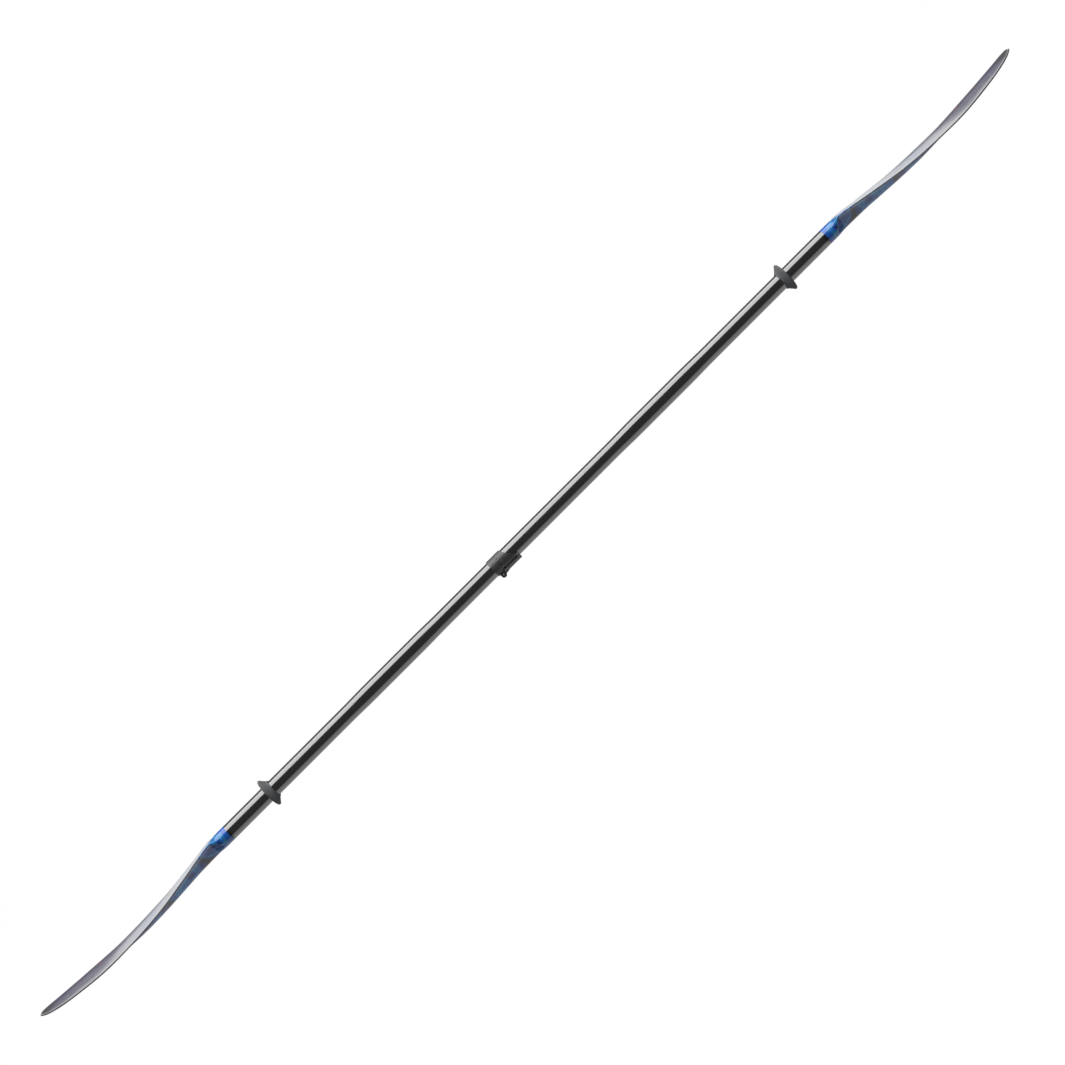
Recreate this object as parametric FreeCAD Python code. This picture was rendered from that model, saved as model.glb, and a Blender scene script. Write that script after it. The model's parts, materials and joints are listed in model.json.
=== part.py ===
import FreeCAD, Part
import math
import os

# A two-piece double-bladed kayak paddle: a left half whose tube carries a clamp collar with a cam
# lever, and a right half whose ferrule slides and turns inside the left tube.
# Frame: +X runs along the shaft towards the right blade, +Z is the side that both power faces look
# at, +Y is the side of the blades' long edges. The origin is on the shaft's axis, midway between
# the blade tips with the shaft closed up. All sizes are in millimetres.

V = FreeCAD.Vector
X_AXIS = V(1, 0, 0)
Y_AXIS = V(0, 1, 0)

# ---- overall sizes -------------------------------------------------------------------------------
PADDLE_LENGTH = 2300.0      # tip to tip, shaft closed up
BLADE_LENGTH = 448.5        # from the shaft's end to the blade's tip
SHAFT_R = 14.5              # outside radius of both shaft tubes
SHAFT_WALL = 1.2
JOINT_X = -59.5             # end of the left tube, where the two tubes meet
JOINT_GAP = 0.5             # left between the two tubes' ends when closed

# ---- blade ---------------------------------------------------------------------------------------
BLADE_HALF_WIDTH = 90.0     # half of the chord at the widest place
TIP_OFFSET = 38.0           # the tip stands this far to the long-edge side
SHORT_EDGE_LEAN = 4.0       # how far the chord's middle leans to the short edge near the neck
NECK_LENGTH = 14.0          # round part of the blade, flush with the shaft
SHOULDER_LENGTH = 22.0      # over which the round neck opens into the flat sheet; the spigot ends here
SHEET_MID = 3.6             # thickness of the sheet beside the spine
SHEET_RIM = 2.2             # thickness at the edge
SPOON_DROP = 9.6            # depth of the power face below the shaft's axis at the spoon's lowest
TIP_RISE = 6.0              # height of the power face above the axis at the tip
SPINE_DEPTH = 19.8          # depth of the spine's back below the axis at its lowest
SPINE_HALF_WIDTH = 15.0
SPINE_END = 0.78            # share of the blade's length where the spine has run out
BLADE_SKIN = 1.6            # laminate thickness around the foam core
CORE_END = 0.60             # share of the blade's length where the foam core stops
CORE_SHARE = 0.72           # width of the core against the spine's
CORE_GLUE = 0.2             # glue line above the core
CORE_SIDE = 0.1             # the core's straight side against its depth
EDGE_LEAST = 0.6            # no section of the blade is thinner than this
TIP_CUT = 0.9985            # 1 would bring the rounded tip to a point, less leaves a small flat

# ---- blade spigot, glued into the blade's neck and the shaft's end ---------------------------------
NECK_BORE_R = 11.8
SPIGOT_IN_SHAFT = 60.0
SPIGOT_WALL = 2.4

# ---- oval grips: extra plies above and below the shaft ---------------------------------------------
GRIP_RISE = 0.75            # how far the oval stands out at top and bottom
GRIP_MIDDLE = 312.0         # distance of the grip's middle from the origin
GRIP_LENGTH = 115.0         # full-height part
GRIP_TAPER = 55.0           # run-out at each end

# ---- inner ferrule, its end cap and guide bush ------------------------------------------------------
FERRULE_CLEARANCE = 0.08    # radial, between the ferrule and the left tube's bore
FERRULE_WALL = 1.3
FERRULE_REACH = 222.0       # inside the left tube when closed up
FERRULE_BOND = 105.0        # glued inside the right tube
CAP_FLANGE = 3.0
CAP_PLUG = 16.0
CAP_SPIGOT_R = 8.5
BUSH_LENGTH = 16.0
BUSH_CLEARANCE = 0.05       # radial, bush to bore and bush to cap
BUSH_END_PLAY = 0.2
SCREW_R = 2.5
SCREW_DEPTH = 22.0
SCREW_HEAD_R = 4.6
SCREW_HEAD = 3.0
RETAINER_R = 10.8           # washer that keeps the bush on the cap
RETAINER_THICK = 1.2

# ---- foam bulkheads ---------------------------------------------------------------------------------
BULKHEAD_LENGTH = 50.0
BULKHEAD_SETBACK = 130.0    # from the shaft's blade end to the plug

# ---- clamp collar -----------------------------------------------------------------------------------
COLLAR_WALL = 1.7
COLLAR_REAR = 22.6          # behind the joint, glued to the left tube
COLLAR_TOP_FRONT = 6.0      # ahead of the joint at the top of the oblique front
COLLAR_TOE = 21.6           # ahead of the joint at the upright toe below the oblique front
COLLAR_KNEE = 7.6           # the oblique front turns upright this far below the axis
COLLAR_CLEARANCE = 0.08     # radial, to the right tube that slides and turns in it
COLLAR_EDGE = 0.8           # rounding of the rear edge
SLIT_BACK = 5.6             # the flex slit's distance behind the joint
SLIT_WIDTH = 0.9
SLIT_TOP_ANGLE = 31.0       # degrees above the horizontal where the slit ends in its relief hole
RELIEF_R = 1.2
NOTCH_WIDTH = 2.6           # the slit's wide mouth under the shaft

# ---- pivot and lever --------------------------------------------------------------------------------
PIVOT_BACK = 14.7           # pivot's distance behind the joint
PIVOT_DROP = 4.5            # pivot's distance below the tube's surface
PIN_R = 1.5
LUG_R = 5.0
LUG_THICK = 3.0
HUB_HALF_WIDTH = 5.5
WASHER_THICK = 0.5
WASHER_R = 3.6
SIDE_PLAY = 0.05            # each side of a washer
CAM_ROOM = 1.0              # collar's window beyond the shoe at each end
PIN_CLEARANCE = 0.05        # radial, in the lever's hub
CAM_R = 3.4
CAM_OFFSET = 1.0            # the cam circle's centre stands this far above the pin when locked
CAM_GAP = 0.06              # to the brake shoe when locked
LEVER_CLEARANCE = 0.35      # lever's arm to the collar
LEVER_THICK = 3.1
LEVER_HALF_ANGLE = 40.0
TAB_HALF_ANGLE = 62.0
TAB_LENGTH = 6.5            # the finger tab's length past the collar's toe
TAB_CLEARANCE = 0.5         # finger tab to the right tube
TAB_EDGE = 0.6
ARM_START = 5.3             # the broad arm starts this far from the pivot
ARM_WEB_END = 13.0          # where the hub's web has run into the arm

# ---- brake shoe -------------------------------------------------------------------------------------
SHOE_LENGTH = 8.4
SHOE_WIDTH = 10.0
SHOE_CLEARANCE = 0.3        # to the window's edges
SHOE_FACE_GAP = 0.05        # radial, to the ferrule

# ---- drip rings --------------------------------------------------------------------------------------
RING_SETBACK = 105.0        # from the shaft's blade end to the ring's narrow end
RING_CLEARANCE = 0.05       # radial, to the shaft
RING_BASE_WALL = 1.9
RING_BASE_LENGTH = 5.0
RING_LENGTH = 13.4
RING_RIM_R = 27.0
RING_LIP = 1.5              # wall thickness at the rim

# ---- worked out ---------------------------------------------------------------------------------------
TIP_X = PADDLE_LENGTH / 2
NECK_X = TIP_X - BLADE_LENGTH
RING_X = NECK_X - RING_SETBACK
SPIGOT_IN_BLADE = NECK_LENGTH + SHOULDER_LENGTH
BORE_R = SHAFT_R - SHAFT_WALL
FERRULE_R = BORE_R - FERRULE_CLEARANCE
FERRULE_BORE_R = FERRULE_R - FERRULE_WALL
RIGHT_END_X = JOINT_X + JOINT_GAP
FERRULE_END_X = JOINT_X - FERRULE_REACH
COLLAR_R = SHAFT_R + COLLAR_WALL
PIVOT = V(JOINT_X - PIVOT_BACK, 0, -(SHAFT_R + PIVOT_DROP))
LUG_INNER_Y = HUB_HALF_WIDTH + WASHER_THICK + 2 * SIDE_PLAY
LUG_OUTER_Y = LUG_INNER_Y + LUG_THICK
CAM_TOP_Z = PIVOT.z + CAM_OFFSET + CAM_R
BUSH_X = FERRULE_END_X - CAP_FLANGE - BUSH_END_PLAY / 2     # the bush's outer end
SCREW_X = FERRULE_END_X - CAP_FLANGE - BUSH_LENGTH - BUSH_END_PLAY
BIG = 3 * SHAFT_R           # larger than anything on the shaft, for cutting tools


# ---- small helpers --------------------------------------------------------------------------------------
def save(name, shape):
    """Write one node's STEP file."""
    if not shape.isValid():
        raise ValueError(name + " is not a valid shape")
    shape.exportStep("parts/" + name + ".step")
    print(f"{name:24s} {len(shape.Solids)} solid  {shape.Volume / 1000:8.2f} cm3")


def rod(r, x_from, x_to):
    """A round bar on the shaft's axis."""
    return Part.makeCylinder(r, x_to - x_from, V(x_from, 0, 0), X_AXIS)


def pipe(r_out, r_in, x_from, x_to):
    """A round tube on the shaft's axis."""
    return rod(r_out, x_from, x_to).cut(rod(r_in, x_from, x_to))


def cross_rod(r, centre, y_from, y_to):
    """A round bar across the shaft, along Y."""
    return Part.makeCylinder(r, y_to - y_from, V(centre.x, y_from, centre.z), Y_AXIS)


def box(x_from, x_to, y_from, y_to, z_from, z_to):
    return Part.makeBox(x_to - x_from, y_to - y_from, z_to - z_from, V(x_from, y_from, z_from))


def turned(points):
    """A body of revolution about the shaft's axis from an outline of (x, radius) points."""
    corners = [V(x, 0, r) for x, r in points]
    outline = Part.makePolygon(corners + [corners[0]])
    return Part.Face(outline).revolve(V(0, 0, 0), X_AXIS, 360)


def side_plate(points, half_width):
    """A plate parallel to XZ from an outline of (x, z) points, centred on y = 0."""
    corners = [V(x, -half_width, z) for x, z in points]
    outline = Part.makePolygon(corners + [corners[0]])
    return Part.Face(outline).extrude(V(0, 2 * half_width, 0))


def saddle(r_in, r_out, half_angle, x_from, x_to):
    """A stretch of pipe that covers only half_angle degrees each side of straight down."""
    wedge = Part.makeCylinder(r_out, x_to - x_from, V(x_from, 0, 0), X_AXIS, 2 * half_angle)
    wedge = wedge.cut(rod(r_in, x_from, x_to)).Solids[0]
    middle = wedge.CenterOfMass
    now = math.degrees(math.atan2(middle.z, middle.y))
    wedge.rotate(V(0, 0, 0), X_AXIS, -90 - now)
    return wedge


def mirrored(shape):
    """The same piece for the left half: reflected through the plane x = 0."""
    return shape.mirror(V(0, 0, 0), X_AXIS)


def smooth_step(a, b, x):
    u = min(1.0, max(0.0, (x - a) / (b - a)))
    return u * u * (3 - 2 * u)


def curve(points, x):
    """A smooth line through (x, value) points, with no overshoot between them."""
    xs = [p[0] for p in points]
    ys = [p[1] for p in points]
    if x <= xs[0]:
        return ys[0]
    if x >= xs[-1]:
        return ys[-1]
    steps = [(ys[i + 1] - ys[i]) / (xs[i + 1] - xs[i]) for i in range(len(xs) - 1)]
    slopes = [steps[0]]
    for left, right in zip(steps, steps[1:]):
        slopes.append(0.0 if left * right <= 0 else 2 * left * right / (left + right))
    slopes.append(steps[-1])
    i = max(k for k in range(len(xs) - 1) if xs[k] <= x)
    width = xs[i + 1] - xs[i]
    u = (x - xs[i]) / width
    rise = (1 + 2 * u) * (1 - u) ** 2 * ys[i] + u * u * (3 - 2 * u) * ys[i + 1]
    return rise + width * (u * (1 - u) ** 2 * slopes[i] - u * u * (1 - u) * slopes[i + 1])


# ---- the blade's shape, as functions of the distance t from the shaft's end --------------------------------
def chord_half(t):
    """Half of the blade's chord: the neck's radius first, a round end with a square-root taper last."""
    share = t / BLADE_LENGTH
    opening = (
        (NECK_LENGTH / BLADE_LENGTH, 0.0),
        (0.045, 0.025),
        (0.058, 0.075),
        (0.07, 0.125),
        (0.14, 0.40),
        (0.22, 0.73),
        (0.30, 1.02),
        (0.38, 1.24),
        (0.46, 1.42),
        (0.64, 1.75),
        (0.81, 2.03),
        (0.95, 2.24),
        (1.0, 2.3),
    )
    grown = curve(opening, share) * (BLADE_HALF_WIDTH - SHAFT_R)
    taper = math.sqrt(1 - TIP_CUT * share)
    taper_starts = smooth_step(0.0, 0.25, share)
    return (SHAFT_R + grown) * (1 - (1 - taper) * taper_starts)


def chord_middle(t):
    """The chord leans to the short edge first and swings to the long edge towards the tip."""
    line = (
        (0.03, 0.0),
        (0.20, -SHORT_EDGE_LEAN),
        (0.36, -SHORT_EDGE_LEAN),
        (0.55, 0.05 * TIP_OFFSET),
        (0.74, 0.37 * TIP_OFFSET),
        (0.87, 0.67 * TIP_OFFSET),
        (0.955, 0.91 * TIP_OFFSET),
        (1.0, TIP_OFFSET),
    )
    return curve(line, t / BLADE_LENGTH)


def power_height(t):
    """Height of the power face on the centre line."""
    line = (
        (0.0, SHAFT_R),
        (0.07, SHAFT_R - 1.3),
        (0.21, 4.4),
        (0.36, -SPOON_DROP * 0.46),
        (0.50, -SPOON_DROP * 0.87),
        (0.62, -SPOON_DROP),
        (0.78, -SPOON_DROP * 0.62),
        (0.93, TIP_RISE * 0.05),
        (1.0, TIP_RISE),
    )
    return curve(line, t / BLADE_LENGTH)


def spine_height(t):
    """Height of the spine's back on the centre line; past its end it follows the sheet's back."""
    sheet = power_height(t) - SHEET_MID
    line = (
        (0.0, -SHAFT_R),
        (0.07, -SHAFT_R + 1.4),
        (0.17, -SHAFT_R + 0.7),
        (0.26, -SPINE_DEPTH * 0.81),
        (0.36, -SPINE_DEPTH * 0.94),
        (0.46, -SPINE_DEPTH),
        (0.56, -SPINE_DEPTH * 0.93),
        (SPINE_END, -SPOON_DROP * 0.62 - SHEET_MID),
    )
    return min(sheet, curve(line, t / BLADE_LENGTH)) if t < SPINE_END * BLADE_LENGTH else sheet


def spine_half_width(t):
    share = t / BLADE_LENGTH
    return SPINE_HALF_WIDTH * (1 - 0.55 * smooth_step(0.3, SPINE_END, share))


def flatness(t):
    """0 in the round neck, 1 where the flat sheet has formed."""
    return smooth_step(NECK_LENGTH, NECK_LENGTH + SHOULDER_LENGTH, t)


def blade_point(t, s, back):
    """A point of the power face, or of the back, at share s of the half chord (-1 to 1)."""
    y = chord_middle(t) + chord_half(t) * s
    circle = SHAFT_R * math.sqrt(max(0.0, 1 - s * s))
    flat = flatness(t)
    if not back:
        return V(t, y, (1 - flat) * circle + flat * power_height(t))
    thickness = SHEET_RIM + (SHEET_MID - SHEET_RIM) * (1 - s * s)
    thickness *= flat
    top = (1 - flat) * circle + flat * power_height(t)
    spine = power_height(t) - SHEET_MID - spine_height(t)
    hump = math.exp(-abs(y / spine_half_width(t)) ** 3)
    sheet_back = power_height(t) - thickness - spine * hump
    low = (1 - flat) * -circle + flat * sheet_back
    return V(t, y, min(low, top - EDGE_LEAST))


def core_point(t, s, back):
    """A point of the foam core: flat under the power face, round in the spine."""
    half = CORE_SHARE * spine_half_width(t)
    top = power_height(t) - BLADE_SKIN - CORE_GLUE
    bottom = spine_height(t) + BLADE_SKIN
    side = (top - bottom) * CORE_SIDE
    if not back:
        return V(t, half * s, top)
    return V(t, half * s, top - side - (top - bottom - side) * math.sqrt(max(0.0, 1 - s * s)))


def skinned(point, stations, columns):
    """A closed solid between two smooth faces: point(t, s, False) above and point(t, s, True) below."""
    turns = [math.pi * k / (columns - 1) for k in range(columns)]
    shares = [-math.cos(a) + 0.1 * math.sin(2 * a) for a in turns]
    faces = []
    edges = []
    for back in (False, True):
        grid = [[point(t, s, back) for s in shares] for t in stations]
        surface = Part.BSplineSurface()
        surface.interpolate(grid)
        faces.append(surface.toShape())
        u0, u1, v0, v1 = surface.bounds()
        edges.append([surface.uIso(u0), surface.uIso(u1), surface.vIso(v0), surface.vIso(v1)])
    for above, below in zip(*edges):
        faces.append(Part.makeRuledSurface(above.toShape(), below.toShape()))
    shell = Part.Shell(faces)
    shell.sewShape()
    solid = Part.Solid(shell)
    if solid.Volume < 0:
        solid.reverse()
    return solid


CORE_SPANS = 12
BLADE_STATIONS = (
    0.0, 0.008, 0.016, 0.024, 0.032, 0.040, 0.048, 0.056, 0.066, 0.078, 0.092, 0.11, 0.13, 0.155,
    0.19, 0.235, 0.29, 0.35, 0.42, 0.49, 0.56, 0.63, 0.70, 0.77, 0.83, 0.88, 0.92, 0.95, 0.972,
    0.985, 0.9935, 1.0,
)


# ---- pieces of one blade, drawn for the right half -----------------------------------------------------------
def blade_outer():
    return skinned(blade_point, [BLADE_LENGTH * share for share in BLADE_STATIONS], 41)


def blade_core():
    start = SPIGOT_IN_BLADE
    step = (CORE_END * BLADE_LENGTH - start) / CORE_SPANS
    return skinned(core_point, [start + step * k for k in range(CORE_SPANS + 1)], 17)


def blade_shell(outer, core):
    """The moulded laminate: the outer shape less the room for the core and the spigot."""
    return outer.cut(core).cut(rod(NECK_BORE_R, -1, SPIGOT_IN_BLADE))


def blade_spigot(bore_r):
    """The glued plug: its thick end fills the shaft's bore, its thin end the blade's neck."""
    plug = rod(bore_r, -SPIGOT_IN_SHAFT, 0).fuse(rod(NECK_BORE_R, 0, SPIGOT_IN_BLADE))
    return plug.cut(rod(NECK_BORE_R - SPIGOT_WALL, -SPIGOT_IN_SHAFT, SPIGOT_IN_BLADE)).removeSplitter()


# ---- shaft ------------------------------------------------------------------------------------------------------
def oval(x, rise):
    """The shaft's outline at x, standing proud by rise at top and bottom."""
    if rise == 0:
        return Part.Wire(Part.Circle(V(x, 0, 0), X_AXIS, SHAFT_R).toShape())
    shape = Part.Ellipse(V(x, 0, SHAFT_R + rise), V(x, SHAFT_R, 0), V(x, 0, 0))
    return Part.Wire(shape.toShape())


def shaft_tube(x_from, x_to, bore_r):
    """A tube on the +X side with an oval grip built up over a round bore."""
    half = GRIP_LENGTH / 2
    outer = half + GRIP_TAPER
    places = (GRIP_MIDDLE - outer, GRIP_MIDDLE - half, GRIP_MIDDLE + half, GRIP_MIDDLE + outer)
    grip = Part.makeLoft([oval(places[0], 0), oval(places[1], GRIP_RISE)], True, True)
    grip = grip.fuse(Part.makeLoft([oval(places[1], GRIP_RISE), oval(places[2], GRIP_RISE)], True, True))
    grip = grip.fuse(Part.makeLoft([oval(places[2], GRIP_RISE), oval(places[3], 0)], True, True))
    tube = rod(SHAFT_R, x_from, places[0]).fuse(grip).fuse(rod(SHAFT_R, places[3], x_to))
    return tube.cut(rod(bore_r, x_from, x_to))


def left_tube():
    """The left tube, with the window that the brake shoe works in."""
    tube = mirrored(shaft_tube(-JOINT_X, NECK_X, BORE_R))
    return tube.cut(shoe_window(SHOE_CLEARANCE))


def shoe_window(clearance):
    """The room for the brake shoe below the shaft's axis, larger all round by clearance."""
    half_length = SHOE_LENGTH / 2 + clearance
    half_width = SHOE_WIDTH / 2 + clearance
    return box(PIVOT.x - half_length, PIVOT.x + half_length, -half_width, half_width, -BIG, 0)


# ---- ferrule, its cap and the guide bush --------------------------------------------------------------------------
def ferrule_tube():
    return pipe(FERRULE_R, FERRULE_BORE_R, FERRULE_END_X, RIGHT_END_X + FERRULE_BOND)


def ferrule_cap():
    """A plug in the ferrule's inner end, with a flange and a spigot for the bush."""
    flange_x = FERRULE_END_X - CAP_FLANGE
    cap = rod(FERRULE_BORE_R, FERRULE_END_X, FERRULE_END_X + CAP_PLUG)
    cap = cap.fuse(rod(FERRULE_R, flange_x, FERRULE_END_X))
    cap = cap.fuse(rod(CAP_SPIGOT_R, SCREW_X, flange_x))
    return cap.removeSplitter().cut(rod(SCREW_R, SCREW_X, SCREW_X + SCREW_DEPTH))


def guide_bush():
    return pipe(BORE_R - BUSH_CLEARANCE, CAP_SPIGOT_R + BUSH_CLEARANCE, BUSH_X - BUSH_LENGTH, BUSH_X)


def bush_retainer():
    """The screw and washer that keep the guide bush on its cap."""
    face = SCREW_X - RETAINER_THICK
    washer = rod(RETAINER_R, face, SCREW_X)
    head = rod(SCREW_HEAD_R, face - SCREW_HEAD, face)
    return washer.fuse(head).fuse(rod(SCREW_R, SCREW_X, SCREW_X + SCREW_DEPTH)).removeSplitter()


def bulkhead(bore_r):
    """A foam plug that keeps water out of the shaft."""
    end = NECK_X - BULKHEAD_SETBACK
    return rod(bore_r, end - BULKHEAD_LENGTH, end)


# ---- clamp ---------------------------------------------------------------------------------------------------------
def oblique_front():
    """The space ahead of the collar's front: slanting down to the knee, then upright at the toe."""
    top = (JOINT_X + COLLAR_TOP_FRONT, COLLAR_R)
    knee = (JOINT_X + COLLAR_TOE, -COLLAR_KNEE)
    lean = (knee[0] - top[0]) / (top[1] - knee[1])
    high = (top[0] - lean * COLLAR_R, top[1] + COLLAR_R)
    low = -2 * COLLAR_R
    ahead = knee[0] + BIG
    return side_plate((high, knee, (knee[0], low), (ahead, low), (ahead, high[1])), BIG)


def lug(side):
    """The ear that holds the pivot pin on one side, merging upwards into the collar."""
    y_from = LUG_INNER_Y if side > 0 else -LUG_OUTER_Y
    ear = cross_rod(LUG_R, PIVOT, y_from, y_from + LUG_THICK)
    root = box(PIVOT.x - LUG_R, PIVOT.x + LUG_R, y_from, y_from + LUG_THICK, PIVOT.z, -SHAFT_R / 2)
    return ear.fuse(root)


def flex_slit():
    """A slit round the collar's lower part, a relief hole at each end and a wide mouth at the bottom."""
    x = JOINT_X - SLIT_BACK
    height = COLLAR_R * math.sin(math.radians(SLIT_TOP_ANGLE))
    slit = box(x - SLIT_WIDTH / 2, x + SLIT_WIDTH / 2, -BIG, BIG, -BIG, height)
    hole = Part.makeCylinder(RELIEF_R, BIG, V(x, 0, 0), V(0, 0, 1))
    for turn in (90 - SLIT_TOP_ANGLE, SLIT_TOP_ANGLE - 90):
        relief = hole.copy()
        relief.rotate(V(x, 0, 0), X_AXIS, turn)
        slit = slit.fuse(relief)
    mouth = box(x - NOTCH_WIDTH / 2, x + NOTCH_WIDTH / 2, -BIG, BIG, -BIG, -SHAFT_R)
    return slit.fuse(mouth).cut(rod(SHAFT_R, x - BIG, x + BIG))


def clamp_collar():
    rear = JOINT_X - COLLAR_REAR
    front = JOINT_X + COLLAR_TOE
    body = rod(COLLAR_R, rear, front + COLLAR_R)
    body = body.makeFillet(COLLAR_EDGE, [e for e in body.Edges if abs(e.CenterOfMass.x - rear) < 0.01])
    body = body.cut(oblique_front())
    for side in (-1, 1):
        body = body.fuse(lug(side))
    body = body.removeSplitter()
    body = body.cut(rod(SHAFT_R, rear - BIG, JOINT_X))
    body = body.cut(rod(SHAFT_R + COLLAR_CLEARANCE, JOINT_X, front + BIG))
    body = body.cut(flex_slit())
    half_length = SHOE_LENGTH / 2 + CAM_ROOM
    body = body.cut(box(PIVOT.x - half_length, PIVOT.x + half_length, -LUG_INNER_Y, LUG_INNER_Y, -BIG, 0))
    return body.cut(cross_rod(PIN_R, PIVOT, -LUG_OUTER_Y, LUG_OUTER_Y))


def pivot_pin():
    return cross_rod(PIN_R, PIVOT, -LUG_OUTER_Y, LUG_OUTER_Y)


def lever_washers():
    """A thin washer between the lever's hub and each lug."""
    pair = []
    for y_from in (HUB_HALF_WIDTH + SIDE_PLAY, -HUB_HALF_WIDTH - SIDE_PLAY - WASHER_THICK):
        y_to = y_from + WASHER_THICK
        washer = cross_rod(WASHER_R, PIVOT, y_from, y_to)
        pair.append(washer.cut(cross_rod(PIN_R, PIVOT, y_from, y_to)))
    return Part.Compound(pair)


def cam_lever():
    """The lever: an eccentric cam on the pin, a web, a saddle-shaped arm and a broader finger tab."""
    toe = JOINT_X + COLLAR_TOE
    under = COLLAR_R + LEVER_CLEARANCE
    arm_x = PIVOT.x + ARM_START
    cam_centre = V(PIVOT.x, 0, PIVOT.z + CAM_OFFSET)
    lever = cross_rod(CAM_R, cam_centre, -HUB_HALF_WIDTH, HUB_HALF_WIDTH)
    web = (
        (PIVOT.x, PIVOT.z + CAM_OFFSET - CAM_R),
        (PIVOT.x + ARM_WEB_END, -under - LEVER_THICK),
        (PIVOT.x + ARM_WEB_END, -under - LEVER_THICK / 2),
        (arm_x, -under),
        (PIVOT.x, -under),
    )
    lever = lever.fuse(side_plate(web, HUB_HALF_WIDTH))
    arm = saddle(under, under + LEVER_THICK, LEVER_HALF_ANGLE, arm_x, toe)
    tab_r = SHAFT_R + TAB_CLEARANCE
    tab = saddle(tab_r, under + LEVER_THICK, TAB_HALF_ANGLE, toe + TAB_EDGE, toe + TAB_LENGTH)
    neck = saddle(under, under + LEVER_THICK, LEVER_HALF_ANGLE, toe, toe + TAB_EDGE)
    lever = lever.fuse(arm).fuse(neck).fuse(tab).removeSplitter()
    return lever.cut(cross_rod(PIN_R + PIN_CLEARANCE, PIVOT, -HUB_HALF_WIDTH, HUB_HALF_WIDTH))


def brake_shoe():
    """The block in the tube's window, hollow on top to match the ferrule and flat under the cam."""
    half_length = SHOE_LENGTH / 2
    half_width = SHOE_WIDTH / 2
    low = CAM_TOP_Z + CAM_GAP
    block = box(PIVOT.x - half_length, PIVOT.x + half_length, -half_width, half_width, low, -SHAFT_R / 2)
    return block.cut(rod(FERRULE_R + SHOE_FACE_GAP, PIVOT.x - BIG, PIVOT.x + BIG))


# ---- drip ring --------------------------------------------------------------------------------------------------------
def drip_ring():
    """A rubber cup on the shaft: its narrow end grips, its wide rim faces the blade."""
    bore = SHAFT_R + RING_CLEARANCE
    base = bore + RING_BASE_WALL
    start = RING_X
    rim = start + RING_LENGTH
    cup = (
        (start, bore),
        (start, base),
        (rim - RING_LIP / 2, RING_RIM_R),
        (rim, RING_RIM_R - RING_LIP / 4),
        (rim - RING_LIP / 4, RING_RIM_R - RING_LIP),
        (start + RING_BASE_LENGTH, base + RING_BASE_WALL * 0.7),
        (start + RING_BASE_LENGTH, bore),
    )
    return turned(cup)


# ---- all the pieces -------------------------------------------------------------------------------------------------------
os.makedirs("parts", exist_ok=True)

core = blade_core()
shell = blade_shell(blade_outer(), core)
to_neck = V(NECK_X, 0, 0)
for side, bore_r in (("right", FERRULE_R), ("left", BORE_R)):
    pieces = {
        "blade_shell": shell.copy(),
        "blade_core": core.copy(),
        "blade_spigot": blade_spigot(bore_r),
    }
    for name, piece in pieces.items():
        piece.translate(to_neck)
        save(side + "_" + name, piece if side == "right" else mirrored(piece))

save("left_shaft_tube", left_tube())
save("right_shaft_tube", shaft_tube(RIGHT_END_X, NECK_X, FERRULE_R))
save("left_bulkhead", mirrored(bulkhead(BORE_R)))
save("right_bulkhead", bulkhead(FERRULE_R))
save("ferrule_tube", ferrule_tube())
save("ferrule_cap", ferrule_cap())
save("guide_bush", guide_bush())
save("bush_retainer", bush_retainer())
save("clamp_collar", clamp_collar())
save("pivot_pin", pivot_pin())
save("lever_washers", lever_washers())
save("cam_lever", cam_lever())
save("brake_shoe", brake_shoe())
save("right_drip_ring", drip_ring())
save("left_drip_ring", mirrored(drip_ring()))
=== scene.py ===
# %% [markdown]
# # A double-bladed kayak paddle
# The paddle is two halves: a left tube with a clamp collar and cam lever, and a right tube whose
# ferrule slides and turns inside the left one. Each half ends in a spooned blade with a glossy
# printed laminate, and carries a rubber drip ring. The engineering model is loaded first and stays
# where it is. The pieces made here take their place and outer size from that model's boxes, so none
# of them is set in by eye.

# %% Load the frame
import json
import math

import bmesh
import bpy
import numpy as np
from mathutils import Matrix, Vector


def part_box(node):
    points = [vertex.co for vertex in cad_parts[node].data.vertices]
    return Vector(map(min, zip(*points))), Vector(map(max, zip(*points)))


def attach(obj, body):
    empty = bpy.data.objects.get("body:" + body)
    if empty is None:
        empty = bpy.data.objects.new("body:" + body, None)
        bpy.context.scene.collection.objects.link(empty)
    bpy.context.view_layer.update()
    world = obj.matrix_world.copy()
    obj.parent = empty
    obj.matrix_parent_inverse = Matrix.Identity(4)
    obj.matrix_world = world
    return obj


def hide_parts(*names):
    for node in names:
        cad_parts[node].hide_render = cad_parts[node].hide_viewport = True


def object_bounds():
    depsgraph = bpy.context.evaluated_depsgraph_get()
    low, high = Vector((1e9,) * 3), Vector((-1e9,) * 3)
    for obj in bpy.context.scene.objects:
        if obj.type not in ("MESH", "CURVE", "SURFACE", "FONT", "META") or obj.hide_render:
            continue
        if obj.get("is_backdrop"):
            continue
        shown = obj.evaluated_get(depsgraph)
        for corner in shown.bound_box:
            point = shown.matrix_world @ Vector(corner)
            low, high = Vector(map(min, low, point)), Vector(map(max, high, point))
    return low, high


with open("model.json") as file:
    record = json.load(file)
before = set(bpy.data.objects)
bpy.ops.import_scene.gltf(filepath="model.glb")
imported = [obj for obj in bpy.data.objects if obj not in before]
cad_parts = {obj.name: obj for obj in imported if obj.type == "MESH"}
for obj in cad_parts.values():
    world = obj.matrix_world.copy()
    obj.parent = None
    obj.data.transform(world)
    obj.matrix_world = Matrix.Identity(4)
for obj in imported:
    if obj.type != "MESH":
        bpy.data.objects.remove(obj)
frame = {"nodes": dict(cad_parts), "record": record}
cad_low, cad_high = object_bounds()
nodes = frame["nodes"]
body_of = {
    node: body
    for body, members in frame["record"]["behaviour"]["bodies"].items()
    for node in members
}
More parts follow.
